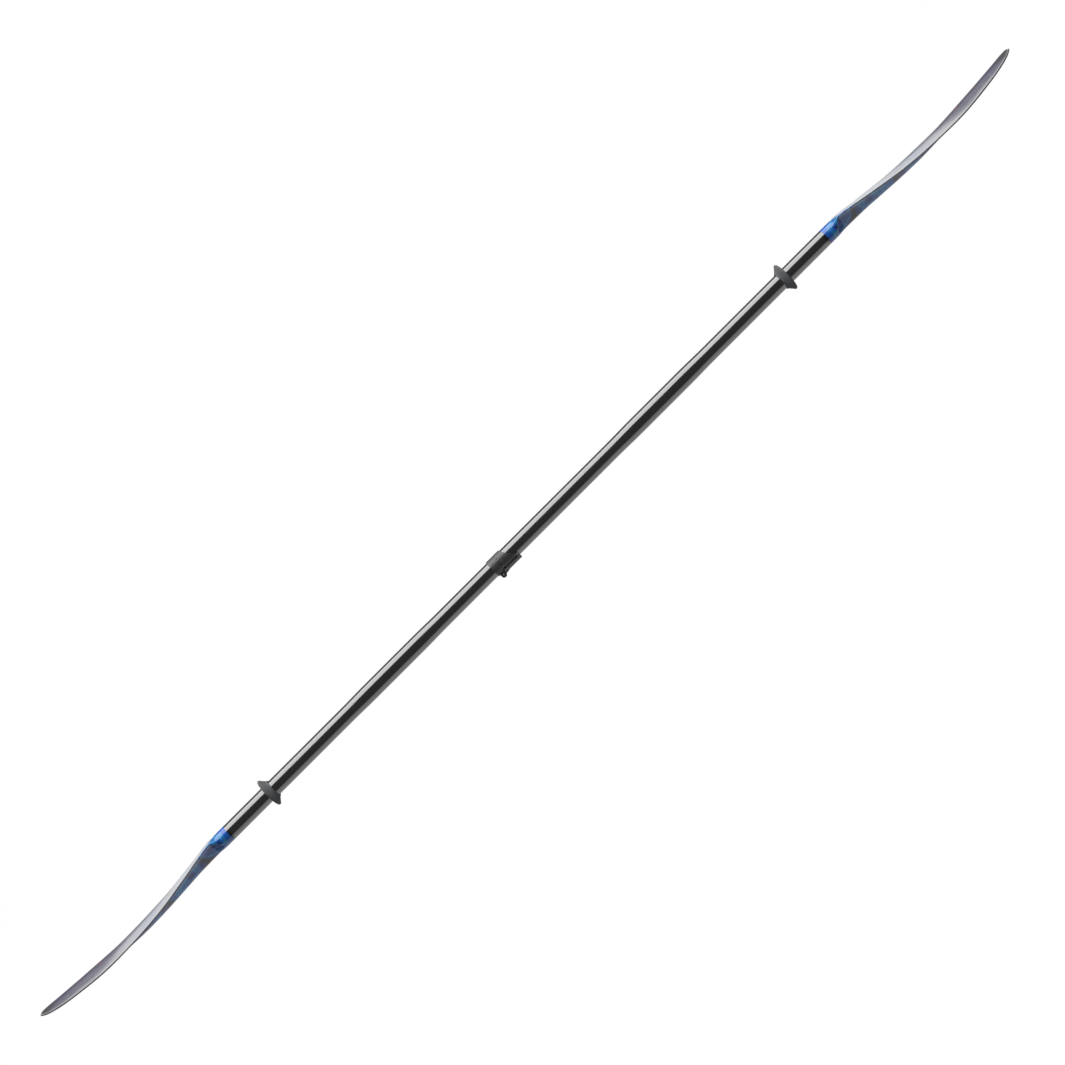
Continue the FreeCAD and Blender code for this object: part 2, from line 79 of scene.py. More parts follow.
slot_of = {part["node"]: part["material_slot"] for part in frame["record"]["subparts"]}

# %% [markdown]
# ## Sizes read from the frame
# A turned piece lies along X, so its largest radius is the largest reach of its box across X. The
# blade's own numbers are repeated in millimetres, because a box can't say how a surface curves.

# %% Sizes
MM = 0.001


def reach(node):
    """Largest radius about the X axis: the furthest that the node's box goes in Y."""
    low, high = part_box(node)
    return max(-low.y, high.y)


def ends(node):
    """Lowest and highest x of a node."""
    low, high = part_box(node)
    return low.x, high.x


neck_x, tip_x = ends("right_blade_shell")
blade_length = tip_x - neck_x
shaft_r = reach("right_shaft_tube")
grip_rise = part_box("right_shaft_tube")[1].z - shaft_r
ferrule_r = reach("ferrule_tube")
left_bore = reach("left_bulkhead")
right_bore = reach("right_bulkhead")
joint_x = ends("left_shaft_tube")[1]
pin_low, pin_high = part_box("pivot_pin")
pivot = (pin_low + pin_high) / 2
print("neck", round(neck_x, 4), "tip", round(tip_x, 4), "shaft radius", round(shaft_r, 5))

# %% [markdown]
# ## Camera
# The paddle is long and thin, so a long lens looks at it almost level, from the side of the short
# blade edges, and is rolled so that the shaft runs from corner to corner. The camera's own axes are
# written down first as a level camera and are then turned about the line of sight.

# %% Camera
LENS = 71.0
DISTANCE = 3.500
ELEVATION = math.radians(4.8)
ROLL = math.radians(44.96)
AIM = Vector((0.0088, 0.0, -0.0033))

back = Vector((0, -math.cos(ELEVATION), math.sin(ELEVATION)))
level_right = Vector((1, 0, 0))
level_up = back.cross(level_right)
right = math.cos(ROLL) * level_right - math.sin(ROLL) * level_up
up = math.sin(ROLL) * level_right + math.cos(ROLL) * level_up
camera = bpy.data.objects.new("camera", bpy.data.cameras.new("camera"))
camera.data.lens = LENS
turned_to_view = Matrix((right, up, back)).transposed().to_4x4()
camera.matrix_world = Matrix.Translation(AIM + back * DISTANCE) @ turned_to_view
scene = bpy.context.scene
scene.collection.objects.link(camera)
scene.camera = camera
scene.view_settings.view_transform = "Standard"
print("camera at", [round(c, 3) for c in camera.location])

# %% [markdown]
# ## Light
# A glossy black tube shows no colour of its own, only what stands round it. One long softbox above
# gives the bright stripe, a dark room in front of it the black one, and a pale ground the grey band
# along the lower side. The room is painted in the world as bands of brightness by the angle about
# the X axis: 0 degrees is towards the viewer, 90 up, 180 behind and -90 down. The backdrop is only
# so wide, so the bands fade sideways and the blades' tips reflect less. The viewer itself sees plain
# white past the paddle.

# %% Room
ROOM = (
    (-180, 0.75),
    (-166, 0.60),
    (-150, 0.45),
    (-112, 0.80),
    (-60, 0.95),
    (-46, 0.13),
    (40, 0.13),
    (52, 0.15),
    (118, 0.20),
    (160, 0.16),
    (169, 0.12),
    (173.5, 0.26),
    (175.3, 0.68),
    (180, 0.75),
)
FAR_END_FADE = (0.27, 0.35)
FAR_END_LEVEL = 0.35


def link(tree, start, end):
    tree.links.new(start, end)


def node(tree, kind, **settings):
    """A shader node with its settings."""
    made = tree.nodes.new("ShaderNode" + kind)
    for name, value in settings.items():
        setattr(made, name, value)
    return made


def feed(tree, socket, value):
    """A number or colour sets the socket, and another socket is linked to it."""
    if isinstance(value, bpy.types.NodeSocket):
        tree.links.new(value, socket)
    elif np.shape(value) == (3,) and len(socket.default_value) == 4:
        socket.default_value = (*value, 1)
    else:
        socket.default_value = value


def math_node(tree, operation, *values):
    """One Math node on up to three numbers or sockets."""
    made = node(tree, "Math", operation=operation)
    for socket, value in zip(made.inputs, values):
        feed(tree, socket, value)
    return made.outputs[0]


def calculator(tree):
    """The Math node helper with its tree already chosen."""
    return lambda operation, *values: math_node(tree, operation, *values)


def ramp_node(tree, fac, stops):
    """A Color Ramp: stops are (place, colour) from left to right, and a single number is a grey."""
    made = node(tree, "ValToRGB")
    elements = made.color_ramp.elements
    for element, (place, _) in zip((elements[0], elements[1]), (stops[0], stops[-1])):
        element.position = place
    for place, _ in stops[1:-1]:
        elements.new(place)
    for element, (_, colour) in zip(elements, stops):
        element.color = (colour, colour, colour, 1) if np.isscalar(colour) else (*colour, 1)
    link(tree, fac, made.inputs[0])
    return made.outputs[0]


world = bpy.data.worlds.new("studio_room")
world.use_nodes = True
scene.world = world
tree = world.node_tree
tree.nodes.clear()
calc = calculator(tree)
direction = node(tree, "SeparateXYZ")
link(tree, node(tree, "TexCoord").outputs["Generated"], direction.inputs[0])
towards = calc("MULTIPLY", direction.outputs["Y"], -1.0)
angle = calc("ARCTAN2", direction.outputs["Z"], towards)
turn = calc("MULTIPLY_ADD", angle, 1 / (2 * math.pi), 0.5)
bands = ramp_node(tree, turn, [((degrees + 180) / 360, level) for degrees, level in ROOM])
ends_fade = node(tree, "MapRange", interpolation_type="SMOOTHSTEP")
sideways = calc("ABSOLUTE", direction.outputs["X"])
for socket, value in zip(ends_fade.inputs, (sideways, *FAR_END_FADE, 1.0, FAR_END_LEVEL)):
    feed(tree, socket, value)
room = node(tree, "Background")
link(tree, bands, room.inputs["Color"])
link(tree, ends_fade.outputs[0], room.inputs["Strength"])
white = node(tree, "Background")
white.inputs["Color"].default_value = (1, 1, 1, 1)
choose = node(tree, "MixShader")
link(tree, node(tree, "LightPath").outputs["Is Camera Ray"], choose.inputs[0])
link(tree, room.outputs[0], choose.inputs[1])
link(tree, white.outputs[0], choose.inputs[2])
link(tree, choose.outputs[0], node(tree, "OutputWorld").inputs[0])
print(len(ROOM), "bands of brightness")

# %% Softbox
SOFTBOX_HEIGHT = 1.5
SOFTBOX_FROM = math.radians(46.5)
SOFTBOX_TO = math.radians(110)
SOFTBOX_LENGTH = 3.4
SOFTBOX_RADIANCE = 3.8

near = -SOFTBOX_HEIGHT / math.tan(SOFTBOX_FROM)
far = -SOFTBOX_HEIGHT / math.tan(SOFTBOX_TO)
softbox = bpy.data.lights.new("softbox", "AREA")
softbox.shape = "RECTANGLE"
softbox.size = SOFTBOX_LENGTH
softbox.size_y = far - near
softbox.energy = SOFTBOX_RADIANCE * math.pi * softbox.size * softbox.size_y
softbox_object = bpy.data.objects.new("softbox", softbox)
softbox_object.location = (0, (near + far) / 2, SOFTBOX_HEIGHT)
softbox_object.visible_camera = False
scene.collection.objects.link(softbox_object)
print("softbox", round(softbox.size_y, 2), "m deep,", round(softbox.energy), "W")

# %% [markdown]
# ## Floor
# A plain pale floor lies well below the paddle, so that no shadow reaches it. It glows a little, as
# a backlit sheet of paper does, which keeps it as white as the room round it. Reflections and bounced
# light see the painted room in its place, so it is left out of them.

# %% Floor
FLOOR_DROP = 0.5
FLOOR_HALF = 30.0

floor_mesh = bpy.data.meshes.new("floor")
floor_z = cad_low.z - FLOOR_DROP
sides = (-1, -1), (1, -1), (1, 1), (-1, 1)
corners = [(FLOOR_HALF * x, FLOOR_HALF * y, floor_z) for x, y in sides]
floor_mesh.from_pydata(corners, [], [(0, 1, 2, 3)])
floor = bpy.data.objects.new("floor", floor_mesh)
floor.visible_glossy = False
floor.visible_diffuse = False
floor.visible_shadow = False
scene.collection.objects.link(floor)
paper = bpy.data.materials.new("studio_paper")
paper.use_nodes = True
for socket, value in (
    ("Base Color", (0.92, 0.92, 0.92)),
    ("Roughness", 0.9),
    ("Emission Color", (1.0, 1.0, 1.0)),
    ("Emission Strength", 0.9),
):
    feed(paper.node_tree, paper.node_tree.nodes["Principled BSDF"].inputs[socket], value)
floor_mesh.materials.append(paper)
floor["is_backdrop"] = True
print("floor at", round(floor_z, 3))

# %% [markdown]
# ## Surfaces from grids
# Every new piece is a grid of points worked out as whole arrays. A grid may close on itself in one
# direction, as round a tube, or in both, as round a ring, and a row whose points all coincide is a
# pole. Faces are found by index arithmetic, poles are welded, and the faces are turned outwards.


# %% Grid helpers
def quads(rows, columns, wrap_rows, wrap_columns):
    """Corner numbers of each quad of a grid, as an array of four columns."""
    i = np.arange(rows if wrap_rows else rows - 1)[:, None]
    j = np.arange(columns if wrap_columns else columns - 1)[None, :]
    i_next = (i + 1) % rows
    j_next = (j + 1) % columns
    corners = (i * columns + j, i * columns + j_next, i_next * columns + j_next, i_next * columns + j)
    return np.stack(np.broadcast_arrays(*corners), -1).reshape(-1, 4)


def sharpness(mesh):
    """How much the surface turns at each vertex: the largest angle between the faces on its edges,
    0 where flat and 1 at 60 degrees or more. Materials use it to wear the edges."""
    mesh.update()
    corner_edge = np.zeros(len(mesh.loops), int)
    mesh.loops.foreach_get("edge_index", corner_edge)
    normals = np.zeros(len(mesh.polygons) * 3)
    mesh.polygons.foreach_get("normal", normals)
    counts = np.zeros(len(mesh.polygons), int)
    mesh.polygons.foreach_get("loop_total", counts)
    corner_normal = np.repeat(normals.reshape(-1, 3), counts, axis=0)
    total = np.zeros((len(mesh.edges), 3))
    np.add.at(total, corner_edge, corner_normal)
    half = np.arccos(np.clip(np.linalg.norm(total, axis=1) / 2, 0, 1))
    ends_of = np.zeros(len(mesh.edges) * 2, int)
    mesh.edges.foreach_get("vertices", ends_of)
    turn_at = np.zeros(len(mesh.vertices))
    np.maximum.at(turn_at, ends_of, np.repeat(2 * half, 2))
    mark = mesh.attributes.new("sharpness", "FLOAT", "POINT")
    mark.data.foreach_set("value", np.clip(turn_at / math.radians(60), 0, 1).astype(np.float32))


def outward(mesh, weld=1e-7):
    """Weld coincident points and turn all faces outwards."""
    work = bmesh.new()
    work.from_mesh(mesh)
    bmesh.ops.remove_doubles(work, verts=work.verts, dist=weld)
    bmesh.ops.recalc_face_normals(work, faces=work.faces)
    work.to_mesh(mesh)
    work.free()


def place(name, mesh, cad_node, smooth_below=40):
    """Put a mesh in the scene in place of a CAD node, with that node's body, slot and finish.
    The finishes are made further down, before the first piece is placed."""
    outward(mesh)
    mesh.shade_smooth()
    mesh.set_sharp_from_angle(angle=math.radians(smooth_below))
    sharpness(mesh)
    mesh.materials.append(finishes[slot_of[cad_node]])
    piece = bpy.data.objects.new(name, mesh)
    scene.collection.objects.link(piece)
    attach(piece, body_of[cad_node])
    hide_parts(cad_node)
    return piece


def mesh_of(name, points, faces):
    """A mesh from an array of points and an array of quads."""
    mesh = bpy.data.meshes.new(name)
    mesh.from_pydata(points.reshape(-1, 3).tolist(), [], faces.tolist())
    return mesh


def rounded(corners, radius, steps=4):
    """A polyline with each inner corner replaced by a curve. The curve starts and ends the radius
    away from the corner, or at 0.45 of a shorter side, and is the parabola between those points."""
    corners = np.array(corners, float)
    line = [corners[0]]
    for before, corner, after in zip(corners, corners[1:], corners[2:]):
        to_before = before - corner
        to_after = after - corner
        cut = min(radius, 0.45 * np.linalg.norm(to_before), 0.45 * np.linalg.norm(to_after))
        start = corner + to_before * cut / np.linalg.norm(to_before)
        end = corner + to_after * cut / np.linalg.norm(to_after)
        u = np.linspace(0, 1, steps + 1)[:, None]
        line.extend((1 - u) ** 2 * start + 2 * u * (1 - u) * corner + u ** 2 * end)
    line.append(corners[-1])
    return np.array(line)


def rounded_ring(corners, radius, steps=4):
    """The same for a closed outline: every corner is rounded and the end meets the start."""
    corners = list(corners)
    middle = (np.array(corners[0], float) + np.array(corners[1], float)) / 2
    return rounded([middle, *corners[1:], corners[0], middle], radius, steps)[:-1]


TURN_STEPS = 96


def turned(name, profile, closed, axis=(1, 0, 0), centre=(0, 0, 0)):
    """A body of revolution: each (along, radius) point of the profile becomes a ring round the axis.
    point = centre + along * axis + radius * (cos a * side + sin a * other)."""
    axis = np.array(axis, float)
    side = np.array((0, 1, 0), float) if axis[0] else np.array((0, 0, 1), float)
    other = np.cross(axis, side)
    a = np.linspace(0, 2 * math.pi, TURN_STEPS, endpoint=False)
    profile = np.asarray(profile, float)
    spoke = np.cos(a)[:, None] * side + np.sin(a)[:, None] * other
    grid = np.array(centre) + profile[:, None, :1] * axis + profile[:, None, 1:] * spoke
    return mesh_of(name, grid, quads(len(profile), TURN_STEPS, closed, True))


print("grid helpers ready")

# %% [markdown]
# ## Effects that materials share
# Wear, scratches and grain are needed by more than one finish, and weave and print are long enough
# to deserve a name, so each is a node group with named inputs. A group gives out only colours, masks
# and heights that change over the surface. The shader itself stays in each material, because a
# group's inside can't be carried over to other programs. All of them read positions in metres, so a
# scale is in features per metre.


# %% Node group helpers
KINDS = {"F": "NodeSocketFloat", "V": "NodeSocketVector", "C": "NodeSocketColor"}


def new_group(name, inputs, outputs):
    """An empty shader node group. Inputs and outputs are written as name: F, V or C."""
    group = bpy.data.node_groups.new(name, "ShaderNodeTree")
    for side, sockets in (("INPUT", inputs), ("OUTPUT", outputs)):
        for socket, kind in sockets.items():
            group.interface.new_socket(socket, in_out=side, socket_type=KINDS[kind])
    group_in = group.nodes.new("NodeGroupInput").outputs
    group_out = group.nodes.new("NodeGroupOutput").inputs
    return group, group_in, group_out


def use_group(tree, group, **values):
    """Place a group in a tree. Values are given by socket name, in lower case."""
    made = node(tree, "Group", node_tree=group)
    for socket in made.inputs:
        if socket.name.lower() in values:
            feed(tree, socket, values[socket.name.lower()])
    return made.outputs


def noise(tree, position, scale, detail=3.0, roughness=0.5, distortion=0.0):
    """Noise between 0 and 1 with features about 1 / scale metres across."""
    made = node(tree, "TexNoise")
    feed(tree, made.inputs["Vector"], position)
    settings = {"Scale": scale, "Detail": detail, "Roughness": roughness, "Distortion": distortion}
    for socket, value in settings.items():
        feed(tree, made.inputs[socket], value)
    return made.outputs["Fac"]


def mix_colour(tree, fac, first, second, blend="MIX"):
    made = node(tree, "Mix", data_type="RGBA", blend_type=blend)
    feed(tree, made.inputs[0], fac)
    feed(tree, made.inputs[6], first)
    feed(tree, made.inputs[7], second)
    return made.outputs[2]


def between(tree, value, low, high, to_low=0.0, to_high=1.0):
    """A smooth step: to_low below low, to_high above high."""
    made = node(tree, "MapRange", interpolation_type="SMOOTHSTEP")
    for socket, given in zip(made.inputs, (value, low, high, to_low, to_high)):
        feed(tree, socket, given)
    return made.outputs[0]


def shifted(tree, base, field, amount):
    """A value moved up and down by a noise: base + amount * (field - 0.5)."""
    return math_node(tree, "MULTIPLY_ADD", math_node(tree, "SUBTRACT", field, 0.5), amount, base)


def stretched(tree, position, scale):
    """A position scaled by its own factor along each axis, to draw a pattern out."""
    made = node(tree, "Mapping")
    made.inputs["Scale"].default_value = scale
    feed(tree, made.inputs["Vector"], position)
    return made.outputs[0]


print(len(KINDS), "kinds of socket")

# %% [markdown]
# **Worn edges.** Handling rubs the paint-like skin off the sharpest edges first. The mask is the
# piece's own sharpness, broken up by noise so that the wear comes and goes.

# %% Worn edges
edge_wear, wear_in, wear_out = new_group(
    "edge_wear", {"Position": "V", "Sharpness": "F", "Amount": "F"}, {"Mask": "F"}
)
calc = calculator(edge_wear)
patches = noise(edge_wear, wear_in["Position"], 260.0, 5.0, 0.65)
threshold = calc("SUBTRACT", 1.0, calc("MULTIPLY", wear_in["Amount"], 0.8))
worn = calc("MULTIPLY", wear_in["Sharpness"], calc("ADD", patches, 0.45))
feed(edge_wear, wear_out["Mask"], between(edge_wear, worn, threshold, 1.15))
print("worn edges:", len(edge_wear.nodes), "nodes")

# %% [markdown]
# **Fine scratches.** Long thin marks along the shaft's direction are noise drawn out fifty-fold,
# of which only the ridges near one value are kept.

# %% Fine scratches
scratches, scratch_in, scratch_out = new_group(
    "fine_scratches", {"Position": "V", "Scale": "F"}, {"Mask": "F"}
)
calc = calculator(scratches)
drawn_out = stretched(scratches, scratch_in["Position"], (0.02, 1.0, 1.0))
field = noise(scratches, drawn_out, scratch_in["Scale"], 2.0, 0.5, 0.3)
ridge = calc("ABSOLUTE", calc("SUBTRACT", field, 0.5))
where = between(scratches, noise(scratches, scratch_in["Position"], 24.0, 2.0), 0.52, 0.66)
line = between(scratches, ridge, 0.0, 0.012, 1.0, 0.0)
feed(scratches, scratch_out["Mask"], calc("MULTIPLY", line, where))
print("scratches:", len(scratches.nodes), "nodes")

# %% [markdown]
# **Handling marks.** Hands and water leave soft cloudy patches that change the gloss, not the colour.

# %% Handling marks
handling, handling_in, handling_out = new_group(
    "handling_marks", {"Position": "V", "Low": "F", "High": "F"}, {"Roughness": "F"}
)
calc = calculator(handling)
cloud = noise(handling, handling_in["Position"], 18.0, 4.0, 0.6, 0.4)
fine_cloud = noise(handling, handling_in["Position"], 150.0, 3.0, 0.6)
mixed = calc("MULTIPLY_ADD", fine_cloud, 0.35, calc("MULTIPLY", cloud, 0.65))
spread = between(handling, mixed, 0.38, 0.66, handling_in["Low"], handling_in["High"])
feed(handling, handling_out["Roughness"], spread)
print("handling marks:", len(handling.nodes), "nodes")

# %% [markdown]
# **Moulded grain.** Moulded nylon and rubber take the mould's spark-eroded skin: tiny pits of uneven
# size. One noise gives the pits, and another, many times coarser, a slow mottle for the colour.

# %% Moulded grain
grain, grain_in, grain_out = new_group(
    "moulded_grain", {"Position": "V", "Scale": "F"}, {"Height": "F", "Mottle": "F"}
)
calc = calculator(grain)
pits = noise(grain, grain_in["Position"], grain_in["Scale"], 3.0, 0.7)
slow_scale = calc("MULTIPLY", grain_in["Scale"], 0.06)
feed(grain, grain_out["Height"], between(grain, pits, 0.3, 0.7))
feed(grain, grain_out["Mottle"], noise(grain, grain_in["Position"], slow_scale, 4.0, 0.6))
print("grain:", len(grain.nodes), "nodes")

# %% [markdown]
# **Braided fibre.** The tube is braided carbon and glass under a clear coat: flat tows cross at plus
# and minus 45 degrees and each passes over two and under two. Counting tows along both diagonals and
# taking the sum in fours says which tow is on top, and its height is half a sine across the tow.

# %% Braided fibre
TOWS_ROUND = 24.0

braid, braid_in, braid_out = new_group(
    "braided_fibre", {"Position": "V", "Radius": "F"}, {"On top": "F", "Height": "F"}
)
calc = calculator(braid)
parts = node(braid, "SeparateXYZ")
feed(braid, parts.inputs[0], braid_in["Position"])
angle = calc("ARCTAN2", parts.outputs["Z"], parts.outputs["Y"])
around = calc("MULTIPLY", angle, TOWS_ROUND / (2 * math.pi))
tow = calc("DIVIDE", TOWS_ROUND / (2 * math.pi), braid_in["Radius"])
along = calc("MULTIPLY", parts.outputs["X"], tow)
first_way = calc("ADD", along, around)
other_way = calc("SUBTRACT", along, around)
count = calc("ADD", calc("FLOOR", first_way), calc("FLOOR", other_way))
quarter = calc("FLOORED_MODULO", count, 4.0)
top = calc("LESS_THAN", quarter, 1.5)
across_first = calc("SINE", calc("MULTIPLY", calc("FRACT", first_way), math.pi))
across_other = calc("SINE", calc("MULTIPLY", calc("FRACT", other_way), math.pi))
raised = node(braid, "Mix", data_type="FLOAT")
for socket, value in zip((0, 2, 3), (top, across_other, across_first)):
    feed(braid, raised.inputs[socket], value)
feed(braid, braid_out["On top"], top)
feed(braid, braid_out["Height"], raised.outputs[0])
print("groups:", [group.name for group in bpy.data.node_groups])

# %% [markdown]
# ## The printed laminate
# The blades are glass laminate with a blotched print under a deep gloss: bright blue at the neck,
# dark blue with teal patches and umber bands down the spine, then violet and lavender grey, and
# charcoal at the tip. The colour of both long margins is drawn towards indigo, with red flecks.
# Both blades carry the same print mirrored, so the group reads the distance from the middle of the
# paddle, not x itself.

# %% Printed laminate
NAVY = (0.009, 0.038, 0.175)
BLUE = (0.014, 0.105, 0.430)
BRIGHT_BLUE = (0.007, 0.095, 0.450)
TEAL = (0.026, 0.280, 0.500)
VIOLET = (0.075, 0.060, 0.200)
LAVENDER = (0.180, 0.165, 0.280)
SLATE = (0.065, 0.085, 0.180)
INDIGO = (0.030, 0.032, 0.095)
UMBER = (0.030, 0.023, 0.026)
CHARCOAL = (0.032, 0.033, 0.038)
RED = (0.620, 0.045, 0.060)
DARK_BANDS = ((0.145, 0.018), (0.345, 0.022))

print_group, print_in, print_out = new_group(
    "blade_print", {"Position": "V", "Margin": "F"}, {"Color": "C", "Mottle": "F"}
)
calc = calculator(print_group)
parts = node(print_group, "SeparateXYZ")
feed(print_group, parts.inputs[0], print_in["Position"])
from_middle = calc("ABSOLUTE", parts.outputs["X"])
same_both_sides = node(print_group, "CombineXYZ")
for socket, value in zip(same_both_sides.inputs, (from_middle, parts.outputs["Y"], parts.outputs["Z"])):
    feed(print_group, socket, value)
spot = same_both_sides.outputs[0]
share = calc("DIVIDE", calc("SUBTRACT", from_middle, neck_x), blade_length)
blotches = noise(print_group, stretched(print_group, spot, (0.8, 1.0, 1.6)), 24.0, 2.5, 0.5, 1.1)
specks = noise(print_group, spot, 85.0, 3.0, 0.6, 0.8)
inner = ramp_node(
    print_group,
    shifted(print_group, blotches, specks, 0.30),
    [(0.30, UMBER), (0.38, NAVY), (0.46, BLUE), (0.53, TEAL), (0.58, BLUE), (0.66, NAVY), (0.72, VIOLET)],
)
outer = ramp_node(
    print_group,
    shifted(print_group, blotches, specks, 0.45),
    [(0.30, SLATE), (0.42, VIOLET), (0.50, LAVENDER), (0.58, SLATE), (0.68, VIOLET), (0.75, CHARCOAL)],
)
drift = shifted(print_group, share, blotches, 0.5)
colour = mix_colour(print_group, between(print_group, drift, 0.34, 0.62), inner, outer)
neck_drift = shifted(print_group, share, specks, 0.06)
for place_along, half in DARK_BANDS:
    wander = shifted(print_group, share, blotches, 0.16)
    off_band = calc("ABSOLUTE", calc("SUBTRACT", wander, place_along))
    band = between(print_group, off_band, half * 0.5, half * 1.3, 0.9, 0.0)
    colour = mix_colour(print_group, band, colour, UMBER)
at_neck = between(print_group, neck_drift, 0.014, 0.032, 1.0, 0.0)
colour = mix_colour(print_group, at_neck, colour, BRIGHT_BLUE)
# Both long margins are drawn three quarters of the way to indigo.
edge_place = between(print_group, share, 0.25, 0.45)
at_margin = calc("MULTIPLY", print_in["Margin"], edge_place)
colour = mix_colour(print_group, calc("MULTIPLY", at_margin, 0.75), colour, INDIGO)
fleck_field = noise(print_group, stretched(print_group, spot, (1.0, 0.7, 1.0)), 95.0, 2.5, 0.6, 0.8)
fleck_place = ramp_node(print_group, share, [(0.46, 0), (0.56, 1), (0.82, 1), (0.92, 0)])
fewer_inside = calc("MULTIPLY_ADD", print_in["Margin"], -0.09, 0.69)
past_fewer = calc("SUBTRACT", fleck_field, fewer_inside)
flecks = calc("MULTIPLY", between(print_group, past_fewer, 0.0, 0.08, 0.0, 0.85), fleck_place)
colour = mix_colour(print_group, flecks, colour, RED)
tip_drift = shifted(print_group, share, specks, 0.10)
colour = mix_colour(print_group, between(print_group, tip_drift, 0.90, 0.985), colour, CHARCOAL)
feed(print_group, print_out["Color"], colour)
feed(print_group, print_out["Mottle"], specks)
print("print colours set")

# %% [markdown]
# ## Finishes
# A finish is a Principled shader with its constants set on its own sockets, and colour, roughness
# and bump fed by the groups. One helper makes the shader and one adds a bump.


# %% Finish helpers
def finish(name, **constants):
    """A material, its tree, its Principled shader's sockets and the position in metres."""
    material = bpy.data.materials.new(name)
    material.use_nodes = True
    tree = material.node_tree
    shader = tree.nodes["Principled BSDF"]
    for socket, value in constants.items():
        feed(tree, shader.inputs[socket.replace("_", " ")], value)
    return material, tree, shader.inputs, node(tree, "TexCoord").outputs["Object"]


def bump(tree, sockets, height, distance, strength=1.0):
    """Feed a height, in units of distance metres, to the shader's normal."""
    made = node(tree, "Bump")
    made.inputs["Strength"].default_value = strength
    made.inputs["Distance"].default_value = distance
    feed(tree, made.inputs["Height"], height)
    link(tree, made.outputs[0], sockets["Normal"])


def mark(tree, name):
    """A number stored on the piece's own points."""
    return node(tree, "Attribute", attribute_name=name).outputs["Fac"]


print("finish helpers ready")

# %% [markdown]
# **Blade laminate.** Under the print's clear gloss the cloth shows through as the faintest ripple.
# The moulded rim is bare dark resin, and the rim and the tip are scuffed.

# %% Blade laminate
laminate, tree, sockets, spot = finish("blade_laminate", Coat_Roughness=0.04, Specular_IOR_Level=0.2)
calc = calculator(tree)
printed = use_group(tree, print_group, position=spot, margin=mark(tree, "margin"))
rim = mark(tree, "rim")
scuffs = use_group(tree, scratches, position=spot, scale=420.0)["Mask"]
rubbed = use_group(tree, edge_wear, position=spot, sharpness=rim, amount=0.55)["Mask"]
colour = mix_colour(tree, between(tree, rim, 0.35, 0.8), printed["Color"], CHARCOAL)
colour = mix_colour(tree, calc("MULTIPLY", rubbed, 0.5), colour, (0.16, 0.16, 0.17))
feed(tree, sockets["Base Color"], colour)
cloudy = use_group(tree, handling, position=spot, low=0.16, high=0.32)["Roughness"]
feed(tree, sockets["Roughness"], calc("MULTIPLY_ADD", scuffs, 0.25, cloudy))
feed(tree, sockets["Coat Weight"], calc("SUBTRACT", 1.0, calc("MULTIPLY", rubbed, 0.8)))
cloth = noise(tree, spot, 900.0, 1.0)
bump(tree, sockets, calc("MULTIPLY_ADD", printed["Mottle"], 3.0, cloth), 0.00002)
print(laminate.name, len(tree.nodes), "nodes")

# %% [markdown]
# **Shaft.** Near-black braid under a thick clear coat: the coat's reflection is nearly all that
# shows, so the coat's own index is high and its roughness low, and the weave only tints the black.

# %% Shaft
shaft_finish, tree, sockets, spot = finish("shaft_carbon", IOR=1.9, Coat_Roughness=0.05, Coat_IOR=1.6)
calc = calculator(tree)
woven = use_group(tree, braid, position=spot, radius=shaft_r)
tint = calc("MULTIPLY_ADD", woven["Height"], 0.55, calc("MULTIPLY", woven["On top"], 0.25))
fibre = mix_colour(tree, tint, (0.0022, 0.0022, 0.0026), (0.0085, 0.0085, 0.0095))
scored = use_group(tree, scratches, position=spot, scale=700.0)["Mask"]
fibre = mix_colour(tree, calc("MULTIPLY", scored, 0.3), fibre, (0.05, 0.05, 0.05))
feed(tree, sockets["Base Color"], fibre)
cloudy = use_group(tree, handling, position=spot, low=0.10, high=0.20)["Roughness"]
feed(tree, sockets["Roughness"], calc("MULTIPLY_ADD", scored, 0.2, cloudy))
feed(tree, sockets["Coat Weight"], calc("MULTIPLY_ADD", scored, -0.5, 0.9))
bump(tree, sockets, woven["Height"], 0.000004)
print(shaft_finish.name, len(tree.nodes), "nodes")

# %% [markdown]
# **Ferrule.** The inner tube is ground to size and sealed: fine rings from the grinding wheel, satin
# black. Plain tick marks every 10 mm, with a longer one every 50 mm, help to set the length.

# %% Ferrule
TICK = 0.010
TICK_WIDTH = 0.0007
TICK_HALF_ANGLE = 0.22
LONG_TICK_HALF_ANGLE = 0.50

ferrule_finish, tree, sockets, spot = finish("ferrule_composite", IOR=1.5)
calc = calculator(tree)
parts = node(tree, "SeparateXYZ")
feed(tree, parts.inputs[0], spot)
from_joint = calc("SUBTRACT", parts.outputs["X"], joint_x)
off_top = calc("ABSOLUTE", calc("ARCTAN2", parts.outputs["Y"], parts.outputs["Z"]))
masks = []
for spacing, half_angle in ((TICK, TICK_HALF_ANGLE), (5 * TICK, LONG_TICK_HALF_ANGLE)):
    beyond = calc("ABSOLUTE", calc("PINGPONG", from_joint, spacing / 2))
    on_line = calc("LESS_THAN", beyond, TICK_WIDTH / 2)
    masks.append(calc("MULTIPLY", on_line, calc("LESS_THAN", off_top, half_angle)))
ticks = calc("MAXIMUM", *masks)
rings = noise(tree, stretched(tree, spot, (1.0, 0.02, 0.02)), 5200.0, 2.0)
scored = use_group(tree, scratches, position=spot, scale=600.0)["Mask"]
satin = mix_colour(tree, rings, (0.014, 0.014, 0.015), (0.034, 0.034, 0.036))
satin = mix_colour(tree, calc("MULTIPLY", scored, 0.5), satin, (0.12, 0.12, 0.12))
feed(tree, sockets["Base Color"], mix_colour(tree, ticks, satin, (0.62, 0.62, 0.60)))
feed(tree, sockets["Roughness"], calc("MULTIPLY_ADD", rings, 0.18, 0.26))
bump(tree, sockets, rings, 0.000006)
print(ferrule_finish.name, len(tree.nodes), "nodes")

